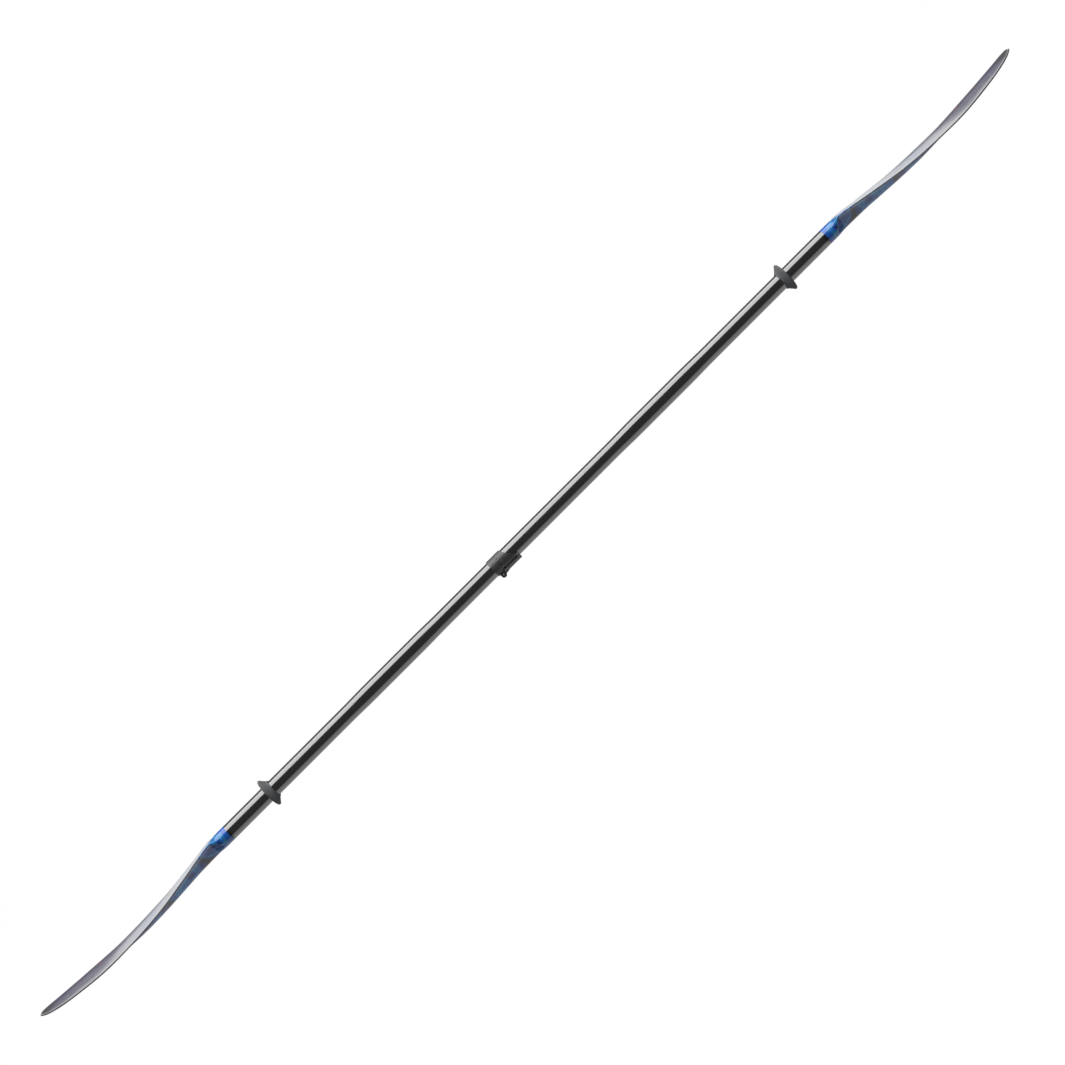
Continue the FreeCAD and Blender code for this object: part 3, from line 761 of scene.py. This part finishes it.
# %% [markdown]
# **Moulded nylon and rubber.** The collar and lever are satin grey nylon, the hidden plugs black
# nylon, the shoe and bush natural bearing plastic, and the drip rings soft matt rubber. They differ
# in colour, gloss, grain size and how far their edges have polished, so one helper makes them all.


# %% Moulded finishes
def moulded(name, dark, light, worn_colour, low, high, grain_scale, grain_depth, wear):
    """A moulded plastic or rubber: mottled between two colours, with grain and polished edges."""
    material, tree, sockets, spot = finish(name, IOR=1.5)
    calc = calculator(tree)
    skin = use_group(tree, grain, position=spot, scale=grain_scale)
    sharp = mark(tree, "sharpness")
    rubbed = use_group(tree, edge_wear, position=spot, sharpness=sharp, amount=wear)["Mask"]
    scored = use_group(tree, scratches, position=spot, scale=800.0)["Mask"]
    colour = mix_colour(tree, skin["Mottle"], dark, light)
    colour = mix_colour(tree, calc("MULTIPLY", scored, 0.35), colour, worn_colour)
    feed(tree, sockets["Base Color"], mix_colour(tree, rubbed, colour, worn_colour))
    cloudy = use_group(tree, handling, position=spot, low=low, high=high)["Roughness"]
    feed(tree, sockets["Roughness"], calc("MULTIPLY_ADD", rubbed, -0.12, cloudy))
    bump(tree, sockets, skin["Height"], grain_depth)
    return material


MOULDED = {
    "nylon_grey": (
        ((0.038, 0.038, 0.040), (0.066, 0.066, 0.069), (0.16, 0.16, 0.165)),
        (0.30, 0.46, 3600.0, 0.00002, 0.6),
    ),
    "nylon_black": (
        ((0.010, 0.010, 0.011), (0.022, 0.022, 0.023), (0.08, 0.08, 0.08)),
        (0.38, 0.52, 3000.0, 0.00002, 0.4),
    ),
    "nylon_natural": (
        ((0.58, 0.55, 0.47), (0.74, 0.72, 0.64), (0.80, 0.78, 0.72)),
        (0.34, 0.48, 2600.0, 0.00001, 0.3),
    ),
    "rubber_grey": (
        ((0.070, 0.073, 0.078), (0.105, 0.108, 0.113), (0.19, 0.19, 0.19)),
        (0.62, 0.80, 2200.0, 0.00003, 0.4),
    ),
}
finishes = {
    "blade_laminate": laminate,
    "shaft_carbon": shaft_finish,
    "ferrule_composite": ferrule_finish,
}
for name, (colours, gloss_grain_wear) in MOULDED.items():
    finishes[name] = moulded(name, *colours, *gloss_grain_wear)
print(len(MOULDED), "moulded finishes")

# %% [markdown]
# **Steel and foam.** The pin, washers and retaining screw are turned stainless steel with faint tool
# rings. The foam core and bulkheads are closed cells, which a Voronoi pattern packs like bubbles.

# %% Steel and foam
steel, tree, sockets, spot = finish("stainless_steel", Metallic=1.0)
calc = calculator(tree)
tool_marks = noise(tree, stretched(tree, spot, (0.3, 1.0, 0.3)), 6000.0, 2.0)
feed(tree, sockets["Base Color"], mix_colour(tree, tool_marks, (0.50, 0.50, 0.51), (0.68, 0.68, 0.69)))
feed(tree, sockets["Roughness"], calc("MULTIPLY_ADD", tool_marks, 0.16, 0.20))
bump(tree, sockets, tool_marks, 0.000004)
finishes["stainless_steel"] = steel

foam, tree, sockets, spot = finish("blade_foam", IOR=1.4)
calc = calculator(tree)
cells = node(tree, "TexVoronoi")
cells.inputs["Scale"].default_value = 1400.0
feed(tree, cells.inputs["Vector"], spot)
packed = mix_colour(tree, cells.outputs["Distance"], (0.80, 0.76, 0.64), (0.60, 0.56, 0.45))
feed(tree, sockets["Base Color"], packed)
feed(tree, sockets["Roughness"], calc("MULTIPLY_ADD", noise(tree, spot, 300.0), 0.15, 0.75))
bump(tree, sockets, cells.outputs["Distance"], 0.0001)
finishes["blade_foam"] = foam
print("finishes:", sorted(finishes))

# %% [markdown]
# ## The blades
# A blade is one surface. Along it, t runs from the shaft's end to the tip; round it, a loop runs
# across the power face, round the long edge, back along the spined face and round the short edge.
# At the neck the loop is the shaft's own circle, and over the shoulder it opens into a thin sheet
# with a spine behind. Moulding such a shape by hand would never be even, so each loop is a blend of
# the circle and the flat section, and the flat section is a few smooth functions of t. The power face
# is also dished across by about a millimetre, which is what makes its two margins shade differently.

# %% Blade numbers, in millimetres
BLADE = blade_length / MM
SHAFT = shaft_r / MM
HALF_WIDTH = 90.0
TIP_OFFSET = 38.0
SHORT_EDGE_LEAN = 4.0
NECK_LENGTH = 14.0
SHOULDER_LENGTH = 22.0
SHEET_MID = 3.6
SHEET_RIM = 2.2
SPOON_DROP = 9.6
TIP_RISE = 6.0
SPINE_DEPTH = 19.8
SPINE_HALF_WIDTH = 15.0
SPINE_END = 0.78
NECK_BORE = 11.8
NECK_BEVEL = 0.25
FIRST_ROW = 0.35
RIM_ROUND = 1.1
RIM_BAND = 5.0
RIM_FULL = 90
MARGIN = (0.45, 0.85)
DISH = 1.2
DISH_FROM_TO = (80, 200)
FACE_STEPS = 72
EDGE_STEPS = 7


def smooth_step(a, b, x):
    u = np.clip((x - a) / (b - a), 0, 1)
    return u * u * (3 - 2 * u)


def curve(points, x):
    """A smooth line through (x, value) points with no overshoot: a cubic in each stretch whose slopes
    are the harmonic mean of the chords on both sides, or 0 where the chords change sign."""
    xs, ys = np.array(points, float).T
    widths = np.diff(xs)
    chords = np.diff(ys) / widths
    product = chords[:-1] * chords[1:]
    total = np.where(product > 0, chords[:-1] + chords[1:], 1)
    inner = np.where(product > 0, 2 * product / total, 0)
    slopes = np.concatenate(([chords[0]], inner, [chords[-1]]))
    x = np.clip(x, xs[0], xs[-1])
    i = np.clip(np.searchsorted(xs, x, side="right") - 1, 0, len(widths) - 1)
    u = (x - xs[i]) / widths[i]
    value = (1 + 2 * u) * (1 - u) ** 2 * ys[i] + u * u * (3 - 2 * u) * ys[i + 1]
    return value + widths[i] * (u * (1 - u) ** 2 * slopes[i] - u * u * (1 - u) * slopes[i + 1])


print("blade", round(BLADE, 1), "mm long")


# %% Blade outline and heights
def chord_half(t):
    """Half of the width: the neck's radius plus a smooth growth, times the square root of what is
    left of the length, which gives the tip its round nose. The root is brought in over a quarter."""
    share = t / BLADE
    opening = (
        (NECK_LENGTH / BLADE, 0), (0.045, 0.025), (0.058, 0.075), (0.07, 0.125), (0.14, 0.40),
        (0.22, 0.73), (0.30, 1.02), (0.38, 1.24), (0.46, 1.42), (0.64, 1.75), (0.81, 2.03),
        (0.95, 2.24), (1.0, 2.3),
    )
    grown = curve(opening, share) * (HALF_WIDTH - SHAFT)
    taper = np.sqrt(np.maximum(1 - share, 0))
    return (SHAFT + grown) * (1 - (1 - taper) * smooth_step(0.0, 0.25, share))


def chord_middle(t):
    """The middle of the width leans to the short edge first and swings to the long edge at the tip."""
    line = (
        (0.03, 0), (0.20, -SHORT_EDGE_LEAN), (0.36, -SHORT_EDGE_LEAN), (0.55, 0.05 * TIP_OFFSET),
        (0.74, 0.37 * TIP_OFFSET), (0.87, 0.67 * TIP_OFFSET), (0.955, 0.91 * TIP_OFFSET),
        (1.0, TIP_OFFSET),
    )
    return curve(line, t / BLADE)


def power_height(t):
    """Height of the power face: from the top of the neck down into the spoon and up to the tip."""
    line = (
        (0.0, SHAFT), (0.07, SHAFT - 1.3), (0.21, 4.4), (0.36, -SPOON_DROP * 0.46),
        (0.50, -SPOON_DROP * 0.87), (0.62, -SPOON_DROP), (0.78, -SPOON_DROP * 0.62),
        (0.93, TIP_RISE * 0.05), (1.0, TIP_RISE),
    )
    return curve(line, t / BLADE)


def spine_height(t):
    """Height of the spine's back, which runs out into the back of the sheet."""
    sheet = power_height(t) - SHEET_MID
    line = (
        (0.0, -SHAFT), (0.07, -SHAFT + 1.4), (0.17, -SHAFT + 0.7), (0.26, -SPINE_DEPTH * 0.81),
        (0.36, -SPINE_DEPTH * 0.94), (0.46, -SPINE_DEPTH), (0.56, -SPINE_DEPTH * 0.93),
        (SPINE_END, -SPOON_DROP * 0.62 - SHEET_MID),
    )
    return np.where(t < SPINE_END * BLADE, np.minimum(sheet, curve(line, t / BLADE)), sheet)


for t in (0.0, 100.0, 300.0):
    print("at", t, "mm: half width", round(float(chord_half(t)), 1), end=" ")
    print("power face", round(float(power_height(t)), 1))

# %% [markdown]
# The loop's columns are closer together over the spine than over the sheet, and seven more turn
# each edge through half a circle, so the rim is truly round. Rows close in on the shoulder and on
# the nose, where their distance to the tip falls as a square, so that the outline's round end gets
# evenly spaced points.

# %% Loop and rows
even = np.linspace(-1, 1, FACE_STEPS)
across_face = 0.45 * even + 0.55 * even ** 3
half_turn = np.linspace(math.pi / 2, -math.pi / 2, EDGE_STEPS + 2)[1:-1]
share_across = np.concatenate((across_face, np.ones(EDGE_STEPS), -across_face, -np.ones(EDGE_STEPS)))
tilt = np.concatenate((
    np.full(FACE_STEPS, math.pi / 2), half_turn, np.full(FACE_STEPS, -math.pi / 2), half_turn[::-1]
))
CLOSE_ROWS_END = 60
NOSE_START = 100.0
nose_least = math.sqrt(RIM_ROUND / NOSE_START)
stations = np.concatenate((
    np.linspace(FIRST_ROW, NECK_LENGTH, 7),
    np.linspace(NECK_LENGTH, CLOSE_ROWS_END, 30)[1:],
    np.linspace(CLOSE_ROWS_END, BLADE - NOSE_START, 58)[1:],
    BLADE - NOSE_START * np.linspace(1, nose_least, 34)[1:] ** 2,
    BLADE - RIM_ROUND * (1 - np.sin(np.linspace(0, math.pi / 2, 7)[1:])),
))
print(len(stations), "rows of", len(tilt), "points")


# %% Blade surface
def blade_rows(t):
    """Points of every loop. y = middle + share * (half - round) + side * round * cos(tilt), and
    z = middle of the sheet + half its thickness * sin(tilt), blended from the neck's circle."""
    t = t[:, None]
    half = chord_half(t)
    edge = np.minimum(RIM_ROUND, 0.5 * half)
    core = share_across * (half - edge)
    beside = core + np.sign(share_across) * edge * np.cos(tilt)
    unit = np.clip(np.divide(beside, half, out=np.zeros_like(beside), where=half > 0), -1, 1)
    circle = SHAFT * np.sign(np.sin(tilt)) * np.sqrt(1 - unit ** 2)
    top = power_height(t)
    s = np.divide(core, half, out=np.zeros_like(core), where=half > 0)
    width = SPINE_HALF_WIDTH * (1 - 0.55 * smooth_step(0.3, SPINE_END, t / BLADE))
    hump = np.exp(-np.abs((chord_middle(t) + core) / width) ** 3)
    thickness = SHEET_RIM + (SHEET_MID - SHEET_RIM) * (1 - s * s)
    thickness = thickness + (top - SHEET_MID - spine_height(t)) * hump
    dish = DISH * smooth_step(*DISH_FROM_TO, t) * (1 - np.abs(s) ** 3)
    thickness = thickness - dish
    top = top - dish
    nose = np.clip((BLADE - t) / RIM_ROUND, 0, 1)
    closing = np.sqrt(1 - (1 - nose) ** 2)
    sheet = top - thickness / 2 + thickness / 2 * np.sin(tilt) * closing
    flat = smooth_step(NECK_LENGTH, NECK_LENGTH + SHOULDER_LENGTH, t)
    y = chord_middle(t) + beside
    z = (1 - flat) * circle + flat * sheet
    return np.stack((np.broadcast_to(t, y.shape), y, z), -1)


def neck_rows():
    """The neck's end: the spigot's bore from its closed end outwards, then the rounded end face."""
    bore_end = NECK_LENGTH + SHOULDER_LENGTH
    profile = (
        (bore_end, 0.0), (bore_end, NECK_BORE), (NECK_BEVEL, NECK_BORE), (0.0, NECK_BORE + NECK_BEVEL),
        (0.0, SHAFT - 0.3), (0.1, SHAFT - 0.08),
    )
    first = blade_rows(np.array([FIRST_ROW]))[0]
    circle = first[:, 1:] / SHAFT
    rows = [np.column_stack((np.full(len(circle), t), r * circle)) for t, r in profile]
    return np.array(rows)


def rim_mark(t):
    """1 on the rounded rim, falling smoothly to 0 over the band inside it, and 0 at the neck."""
    t = t[:, None]
    inside = (1 - np.abs(share_across)) * chord_half(t)
    inside = np.minimum(inside, BLADE - t)
    from_neck = smooth_step(NECK_LENGTH + SHOULDER_LENGTH, RIM_FULL, t)
    return (1 - smooth_step(0, RIM_BAND, inside)) * from_neck


def blade(name, cad_node, direction):
    """One blade, on the side of the paddle that the direction gives."""
    rows = np.concatenate((neck_rows(), blade_rows(stations)))
    marks = np.concatenate((np.zeros((len(neck_rows()), len(tilt))), rim_mark(stations)))
    points = rows * MM
    points[..., 0] = direction * (neck_x + points[..., 0])
    mesh = mesh_of(name, points, quads(len(rows), len(tilt), False, True))
    margin = np.broadcast_to(smooth_step(*MARGIN, np.abs(share_across)), marks.shape)
    for attribute, values in (("rim", marks), ("margin", margin)):
        layer = mesh.attributes.new(attribute, "FLOAT", "POINT")
        layer.data.foreach_set("value", values.ravel().astype(np.float32))
    return place(name, mesh, cad_node, smooth_below=50)


right_blade = blade("right_blade", "right_blade_shell", 1)
blade("left_blade", "left_blade_shell", -1)
print("faces in a blade:", len(right_blade.data.polygons))

# %% [markdown]
# ## The shaft tubes
# Each tube is two skins, the outside and the bore, joined round their ends. The outside swells at
# top and bottom into the oval grip. The left tube also has the window that the brake shoe works
# through, so the cells of both skins are left out there and walls are raised between them.

# %% Shaft tubes
GRIP_MIDDLE = 0.312
GRIP_HALF = 0.0575
GRIP_TAPER = 0.055
END_ROUND = 0.00025
WINDOW_STEPS = 6
SHOE_ROOM = 0.0003
TAPER_SPACING = 0.005
BODY_SPACING = 0.015


def stations_along(low, high, extra=()):
    """Places along a tube: closer on the grips' tapers, and crowded into the rounded ends."""
    end_steps = END_ROUND * (1 - np.cos(np.linspace(0, math.pi / 2, 5)))
    reach_out = GRIP_HALF + GRIP_TAPER
    taper = np.arange(GRIP_MIDDLE - reach_out, GRIP_MIDDLE + reach_out, TAPER_SPACING)
    body = np.arange(low + 0.01, high - 0.005, BODY_SPACING)
    along = np.concatenate((low + end_steps, high - end_steps, body, taper, -taper, extra))
    along = np.unique(np.round(along, 7))
    return along[(along >= low - 1e-9) & (along <= high + 1e-9)]


def end_rounding(x, low, high):
    """How far the surface falls away near an end: a quarter circle of the ends' radius."""
    inside = np.clip(np.minimum(x - low, high - x) / END_ROUND, 0, 1)
    return END_ROUND * (1 - np.sqrt(1 - (1 - inside) ** 2))


def shaft_tube(name, cad_node, bore, window=None):
    """Outside: y = r cos a, z = (r + grip) sin a. Bore: a plain circle. Both from end to end."""
    low, high = ends(cad_node)
    x = stations_along(low, high, window or ())
    a = np.arange(TURN_STEPS) * 2 * math.pi / TURN_STEPS
    fall = end_rounding(x, low, high)[:, None]
    from_grip = np.abs(np.abs(x) - GRIP_MIDDLE)
    lift = grip_rise * (1 - smooth_step(GRIP_HALF, GRIP_HALF + GRIP_TAPER, from_grip))[:, None]
    along = np.broadcast_to(x[:, None], (len(x), TURN_STEPS))
    outside = np.stack((along, (shaft_r - fall) * np.cos(a), (shaft_r - fall + lift) * np.sin(a)), -1)
    inside = np.stack((along, (bore + fall) * np.cos(a), (bore + fall) * np.sin(a)), -1)
    solid = np.ones((len(x) - 1, TURN_STEPS), bool)
    if window:
        middle = (x[:-1] + x[1:]) / 2
        bottom = np.abs(np.arange(TURN_STEPS) + 0.5 - 0.75 * TURN_STEPS) < WINDOW_STEPS
        solid = ~(((middle > window[0]) & (middle < window[1]))[:, None] & bottom)
    number = np.arange(len(x) * TURN_STEPS).reshape(len(x), TURN_STEPS)
    right_of = np.roll(number, -1, axis=1)
    skin = np.stack((number[:-1], right_of[:-1], right_of[1:], number[1:]), -1)[solid]
    padded = np.pad(solid, ((1, 1), (0, 0)))
    ring = padded[:-1] != padded[1:]
    across = np.stack((number, right_of), -1)[ring]
    side = solid != np.roll(solid, 1, axis=1)
    lengthways = np.stack((number[:-1], number[1:]), -1)[side]
    rims = np.concatenate((across, lengthways))
    inner = len(x) * TURN_STEPS
    walls = np.stack((rims[:, 0], rims[:, 1], rims[:, 1] + inner, rims[:, 0] + inner), -1)
    faces = np.concatenate((skin, skin[:, ::-1] + inner, walls))
    mesh = mesh_of(name, np.concatenate((outside, inside)), faces)
    return place(name, mesh, cad_node)


shoe_low, shoe_high = ends("brake_shoe")
window = (shoe_low - SHOE_ROOM, shoe_high + SHOE_ROOM)
left_tube = shaft_tube("left_tube", "left_shaft_tube", left_bore, window)
shaft_tube("right_tube", "right_shaft_tube", right_bore)
print("faces in the left tube:", len(left_tube.data.polygons))

# %% [markdown]
# ## Turned pieces
# Rings, plugs, bushes, pins and screws are all turned or moulded round an axis. Each is a profile of
# (along, radius) corners whose corners are rounded first. A profile that starts and ends on the axis
# makes a solid, and a closed one makes a ring.

# %% Drip rings
RING_BORE_ROOM = 0.00005
ring_start, ring_rim = ends("right_drip_ring")
ring_r = reach("right_drip_ring")
ring_bore = shaft_r + RING_BORE_ROOM
ring_profile = (
    (ring_start + 0.0006, ring_bore),
    (ring_start, ring_bore + 0.0005),
    (ring_start, ring_bore + 0.0019),
    (ring_start + 0.0022, ring_bore + 0.0030),
    (ring_start + 0.0060, ring_bore + 0.0072),
    (ring_rim - 0.0030, ring_r),
    (ring_rim - 0.0014, ring_r),
    (ring_rim, ring_r - 0.0012),
    (ring_rim - 0.0006, ring_r - 0.0022),
    (ring_start + 0.0085, ring_bore + 0.0060),
    (ring_start + 0.0052, ring_bore + 0.0018),
    (ring_start + 0.0052, ring_bore + 0.0004),
    (ring_start + 0.0046, ring_bore),
)
for side, direction in (("right", 1), ("left", -1)):
    mesh = turned(side + "_ring", rounded_ring(ring_profile, 0.0012, 5), True, axis=(direction, 0, 0))
    place(side + "_ring", mesh, side + "_drip_ring", smooth_below=60)
print("ring", round((ring_rim - ring_start) / MM, 1), "mm long,", round(2 * ring_r / MM, 1), "mm across")

# %% [markdown]
# **Plugs.** The spigot joins blade and shaft: thick where it fills the tube, thinner in the blade's
# neck, hollow to save weight. The bulkhead is a foam plug, slightly dished at both faces.

# %% Spigots and bulkheads
SPIGOT_WALL = 2.4 * MM
EDGE_BREAK = 0.5 * MM
PLUG_DISH = 2 * MM
FLAT_RIM = 0.8
for side, direction, bore in (("right", 1, right_bore), ("left", -1, left_bore)):
    low, high = sorted(abs(x) for x in ends(side + "_blade_spigot"))
    neck_r = NECK_BORE * MM
    hollow_r = neck_r - SPIGOT_WALL
    profile = (
        (low, hollow_r), (low, bore), (neck_x, bore), (neck_x, neck_r), (high, neck_r), (high, hollow_r)
    )
    mesh = turned(side + "_spigot", rounded_ring(profile, EDGE_BREAK), True, axis=(direction, 0, 0))
    place(side + "_spigot", mesh, side + "_blade_spigot")
    low, high = sorted(abs(x) for x in ends(side + "_bulkhead"))
    rim_r = bore * FLAT_RIM
    profile = (
        (low + PLUG_DISH, 0), (low, rim_r), (low, bore),
        (high, bore), (high, rim_r), (high - PLUG_DISH, 0),
    )
    mesh = turned(side + "_plug", rounded(profile, EDGE_BREAK), False, axis=(direction, 0, 0))
    place(side + "_plug", mesh, side + "_bulkhead")
print("plugs made")

# %% [markdown]
# **Ferrule, cap, bush and retainer.** The ferrule is a plain tube with broken edges. Its cap plugs
# the inner end and carries the guide bush on a spigot, with grease grooves round the bush, and a
# screw and washer keep the bush on.

# %% Ferrule group
FERRULE_WALL = 1.3 * MM
ferrule_low, ferrule_high = ends("ferrule_tube")
ferrule_bore = ferrule_r - FERRULE_WALL
wall = ((ferrule_low, ferrule_bore), (ferrule_low, ferrule_r))
wall += ((ferrule_high, ferrule_r), (ferrule_high, ferrule_bore))
place("ferrule", turned("ferrule", rounded_ring(wall, EDGE_BREAK), True), "ferrule_tube")

CAP_SPIGOT_R = 8.5 * MM
SCREW_R = 2.5 * MM
BUSH_ROOM = 0.05 * MM
cap_low, cap_high = ends("ferrule_cap")
screw_low, screw_high = ends("bush_retainer")
bush_low, bush_high = ends("guide_bush")
flange_x = bush_high + 2 * BUSH_ROOM
profile = (
    (screw_high, 0), (screw_high, SCREW_R), (cap_low, SCREW_R), (cap_low, CAP_SPIGOT_R),
    (flange_x, CAP_SPIGOT_R), (flange_x, ferrule_r), (ferrule_low, ferrule_r),
    (ferrule_low, ferrule_bore), (cap_high, ferrule_bore), (cap_high, 0),
)
place("cap", turned("cap", rounded(profile, EDGE_BREAK), False), "ferrule_cap")

bush_r = reach("guide_bush")
groove = 0.4 * MM
grooves = [
    (bush_low + (bush_high - bush_low) * place_along + offset, bush_r - depth)
    for place_along in (0.25, 0.5, 0.75)
    for offset, depth in ((-groove, 0), (-groove / 2, groove), (groove / 2, groove), (groove, 0))
]
bush_bore = CAP_SPIGOT_R + BUSH_ROOM
profile = [(bush_low, bush_bore), (bush_low, bush_r), *grooves]
profile += [(bush_high, bush_r), (bush_high, bush_bore)]
mesh = turned("bush", rounded_ring(profile, EDGE_BREAK / 2), True)
place("bush", mesh, "guide_bush")

HEAD_R = 4.6 * MM
SOCKET_R = 2.3 * MM
SCREW_EDGE = 0.3 * MM
SOCKET_DEPTH = 1.8 * MM
WASHER_THICK = 1.2 * MM
washer_r = reach("bush_retainer")
socket_x = screw_low + SOCKET_DEPTH
washer_x = cap_low - WASHER_THICK
profile = (
    (socket_x, 0), (socket_x, SOCKET_R), (screw_low, SOCKET_R), (screw_low, HEAD_R),
    (washer_x, HEAD_R), (washer_x, washer_r), (cap_low, washer_r), (cap_low, SCREW_R),
    (screw_high, SCREW_R), (screw_high, 0),
)
place("retainer", turned("retainer", rounded(profile, SCREW_EDGE), False), "bush_retainer")
print("ferrule group made")

# %% [markdown]
# **Pin and washers** lie across the shaft, so their axis is Y. The pin's ends are domed, as a pin's are
# to start in its holes, and they catch the light beside the collar.

# %% Pin and washers
DOME_HEIGHT = 0.7 * MM
WASHER = 0.5 * MM
WASHER_EDGE = 0.12 * MM

pin_r = (pin_high.z - pin_low.z) / 2
half_pin = (pin_high.y - pin_low.y) / 2
dome = np.linspace(0, math.pi / 2, 9)
rise = np.column_stack((DOME_HEIGHT * (1 - np.cos(dome)) - half_pin, pin_r * np.sin(dome)))
profile = np.concatenate((rise, rise[::-1] * (-1, 1)))
mesh = turned("pin", profile, False, axis=(0, 1, 0), centre=pivot)
place("pin", mesh, "pivot_pin")

washer_low, washer_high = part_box("lever_washers")
washer_out = (washer_high.z - washer_low.z) / 2
outer_face = washer_high.y
inner_face = outer_face - WASHER
profile = ((inner_face, pin_r), (inner_face, washer_out), (outer_face, washer_out), (outer_face, pin_r))
one = rounded_ring(profile, WASHER_EDGE)
pair = [turned("washers", one * (side, 1), True, axis=(0, 1, 0), centre=pivot) for side in (1, -1)]
both = bmesh.new()
for mesh in pair:
    both.from_mesh(mesh)
both.to_mesh(pair[0])
both.free()
place("washers", pair[0], "lever_washers")
print("pin", round(2 * half_pin / MM, 1), "mm long")

# %% [markdown]
# ## Moulded pieces
# The collar, lever and shoe have slots, lugs and slanting faces that no single profile gives. Their
# shape is already exact in the engineering model, but with knife-sharp edges. A copy is rebuilt as an
# even skin of small cells and relaxed a little, which rounds every edge as a mould does, and is then
# thinned. The work is done in millimetres, which keeps the cells well above the remesher's smallest.

# %% Moulded pieces
def moulded_copy(name, cad_node, cell, relax, kept):
    """A copy of a CAD node's mesh, remade from even cells and smoothed, so that edges come out round.
    Cells are a quarter of the narrowest slit or less, in mm. Then only a share of faces is kept."""
    mesh = nodes[cad_node].data.copy()
    mesh.materials.clear()
    outward(mesh, 1e-6)
    mesh.transform(Matrix.Scale(1 / MM, 4))
    rough = bpy.data.objects.new(name + "_rough", mesh)
    scene.collection.objects.link(rough)
    remesh = rough.modifiers.new("cells", "REMESH")
    remesh.mode = "VOXEL"
    remesh.voxel_size = cell
    smooth = rough.modifiers.new("relax", "SMOOTH")
    smooth.factor = 0.5
    smooth.iterations = relax
    rough.modifiers.new("thin", "DECIMATE").ratio = kept
    done = bpy.data.meshes.new_from_object(rough.evaluated_get(bpy.context.evaluated_depsgraph_get()))
    bpy.data.objects.remove(rough)
    done.name = name
    done.transform(Matrix.Scale(MM, 4))
    return place(name, done, cad_node, smooth_below=70)


collar = moulded_copy("collar", "clamp_collar", 0.20, 7, 0.30)
lever = moulded_copy("lever", "cam_lever", 0.28, 5, 0.60)
shoe = moulded_copy("shoe", "brake_shoe", 0.20, 4, 1.0)
print("faces:", {piece.name: len(piece.data.polygons) for piece in (collar, lever, shoe)})

# %% [markdown]
# ## Nodes that stay as they are
# The foam cores are sealed inside the blades. They keep their own meshes and get the foam finish.

# %% Carried-over nodes
for name, carried in nodes.items():
    if not carried.hide_render:
        carried.data.materials.clear()
        carried.data.materials.append(finishes[slot_of[name]])
        print("kept:", name)

# %% Finish
low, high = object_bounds()
print("outside the model's box by at most", max(*(cad_low - low), *(high - cad_high)), "m")
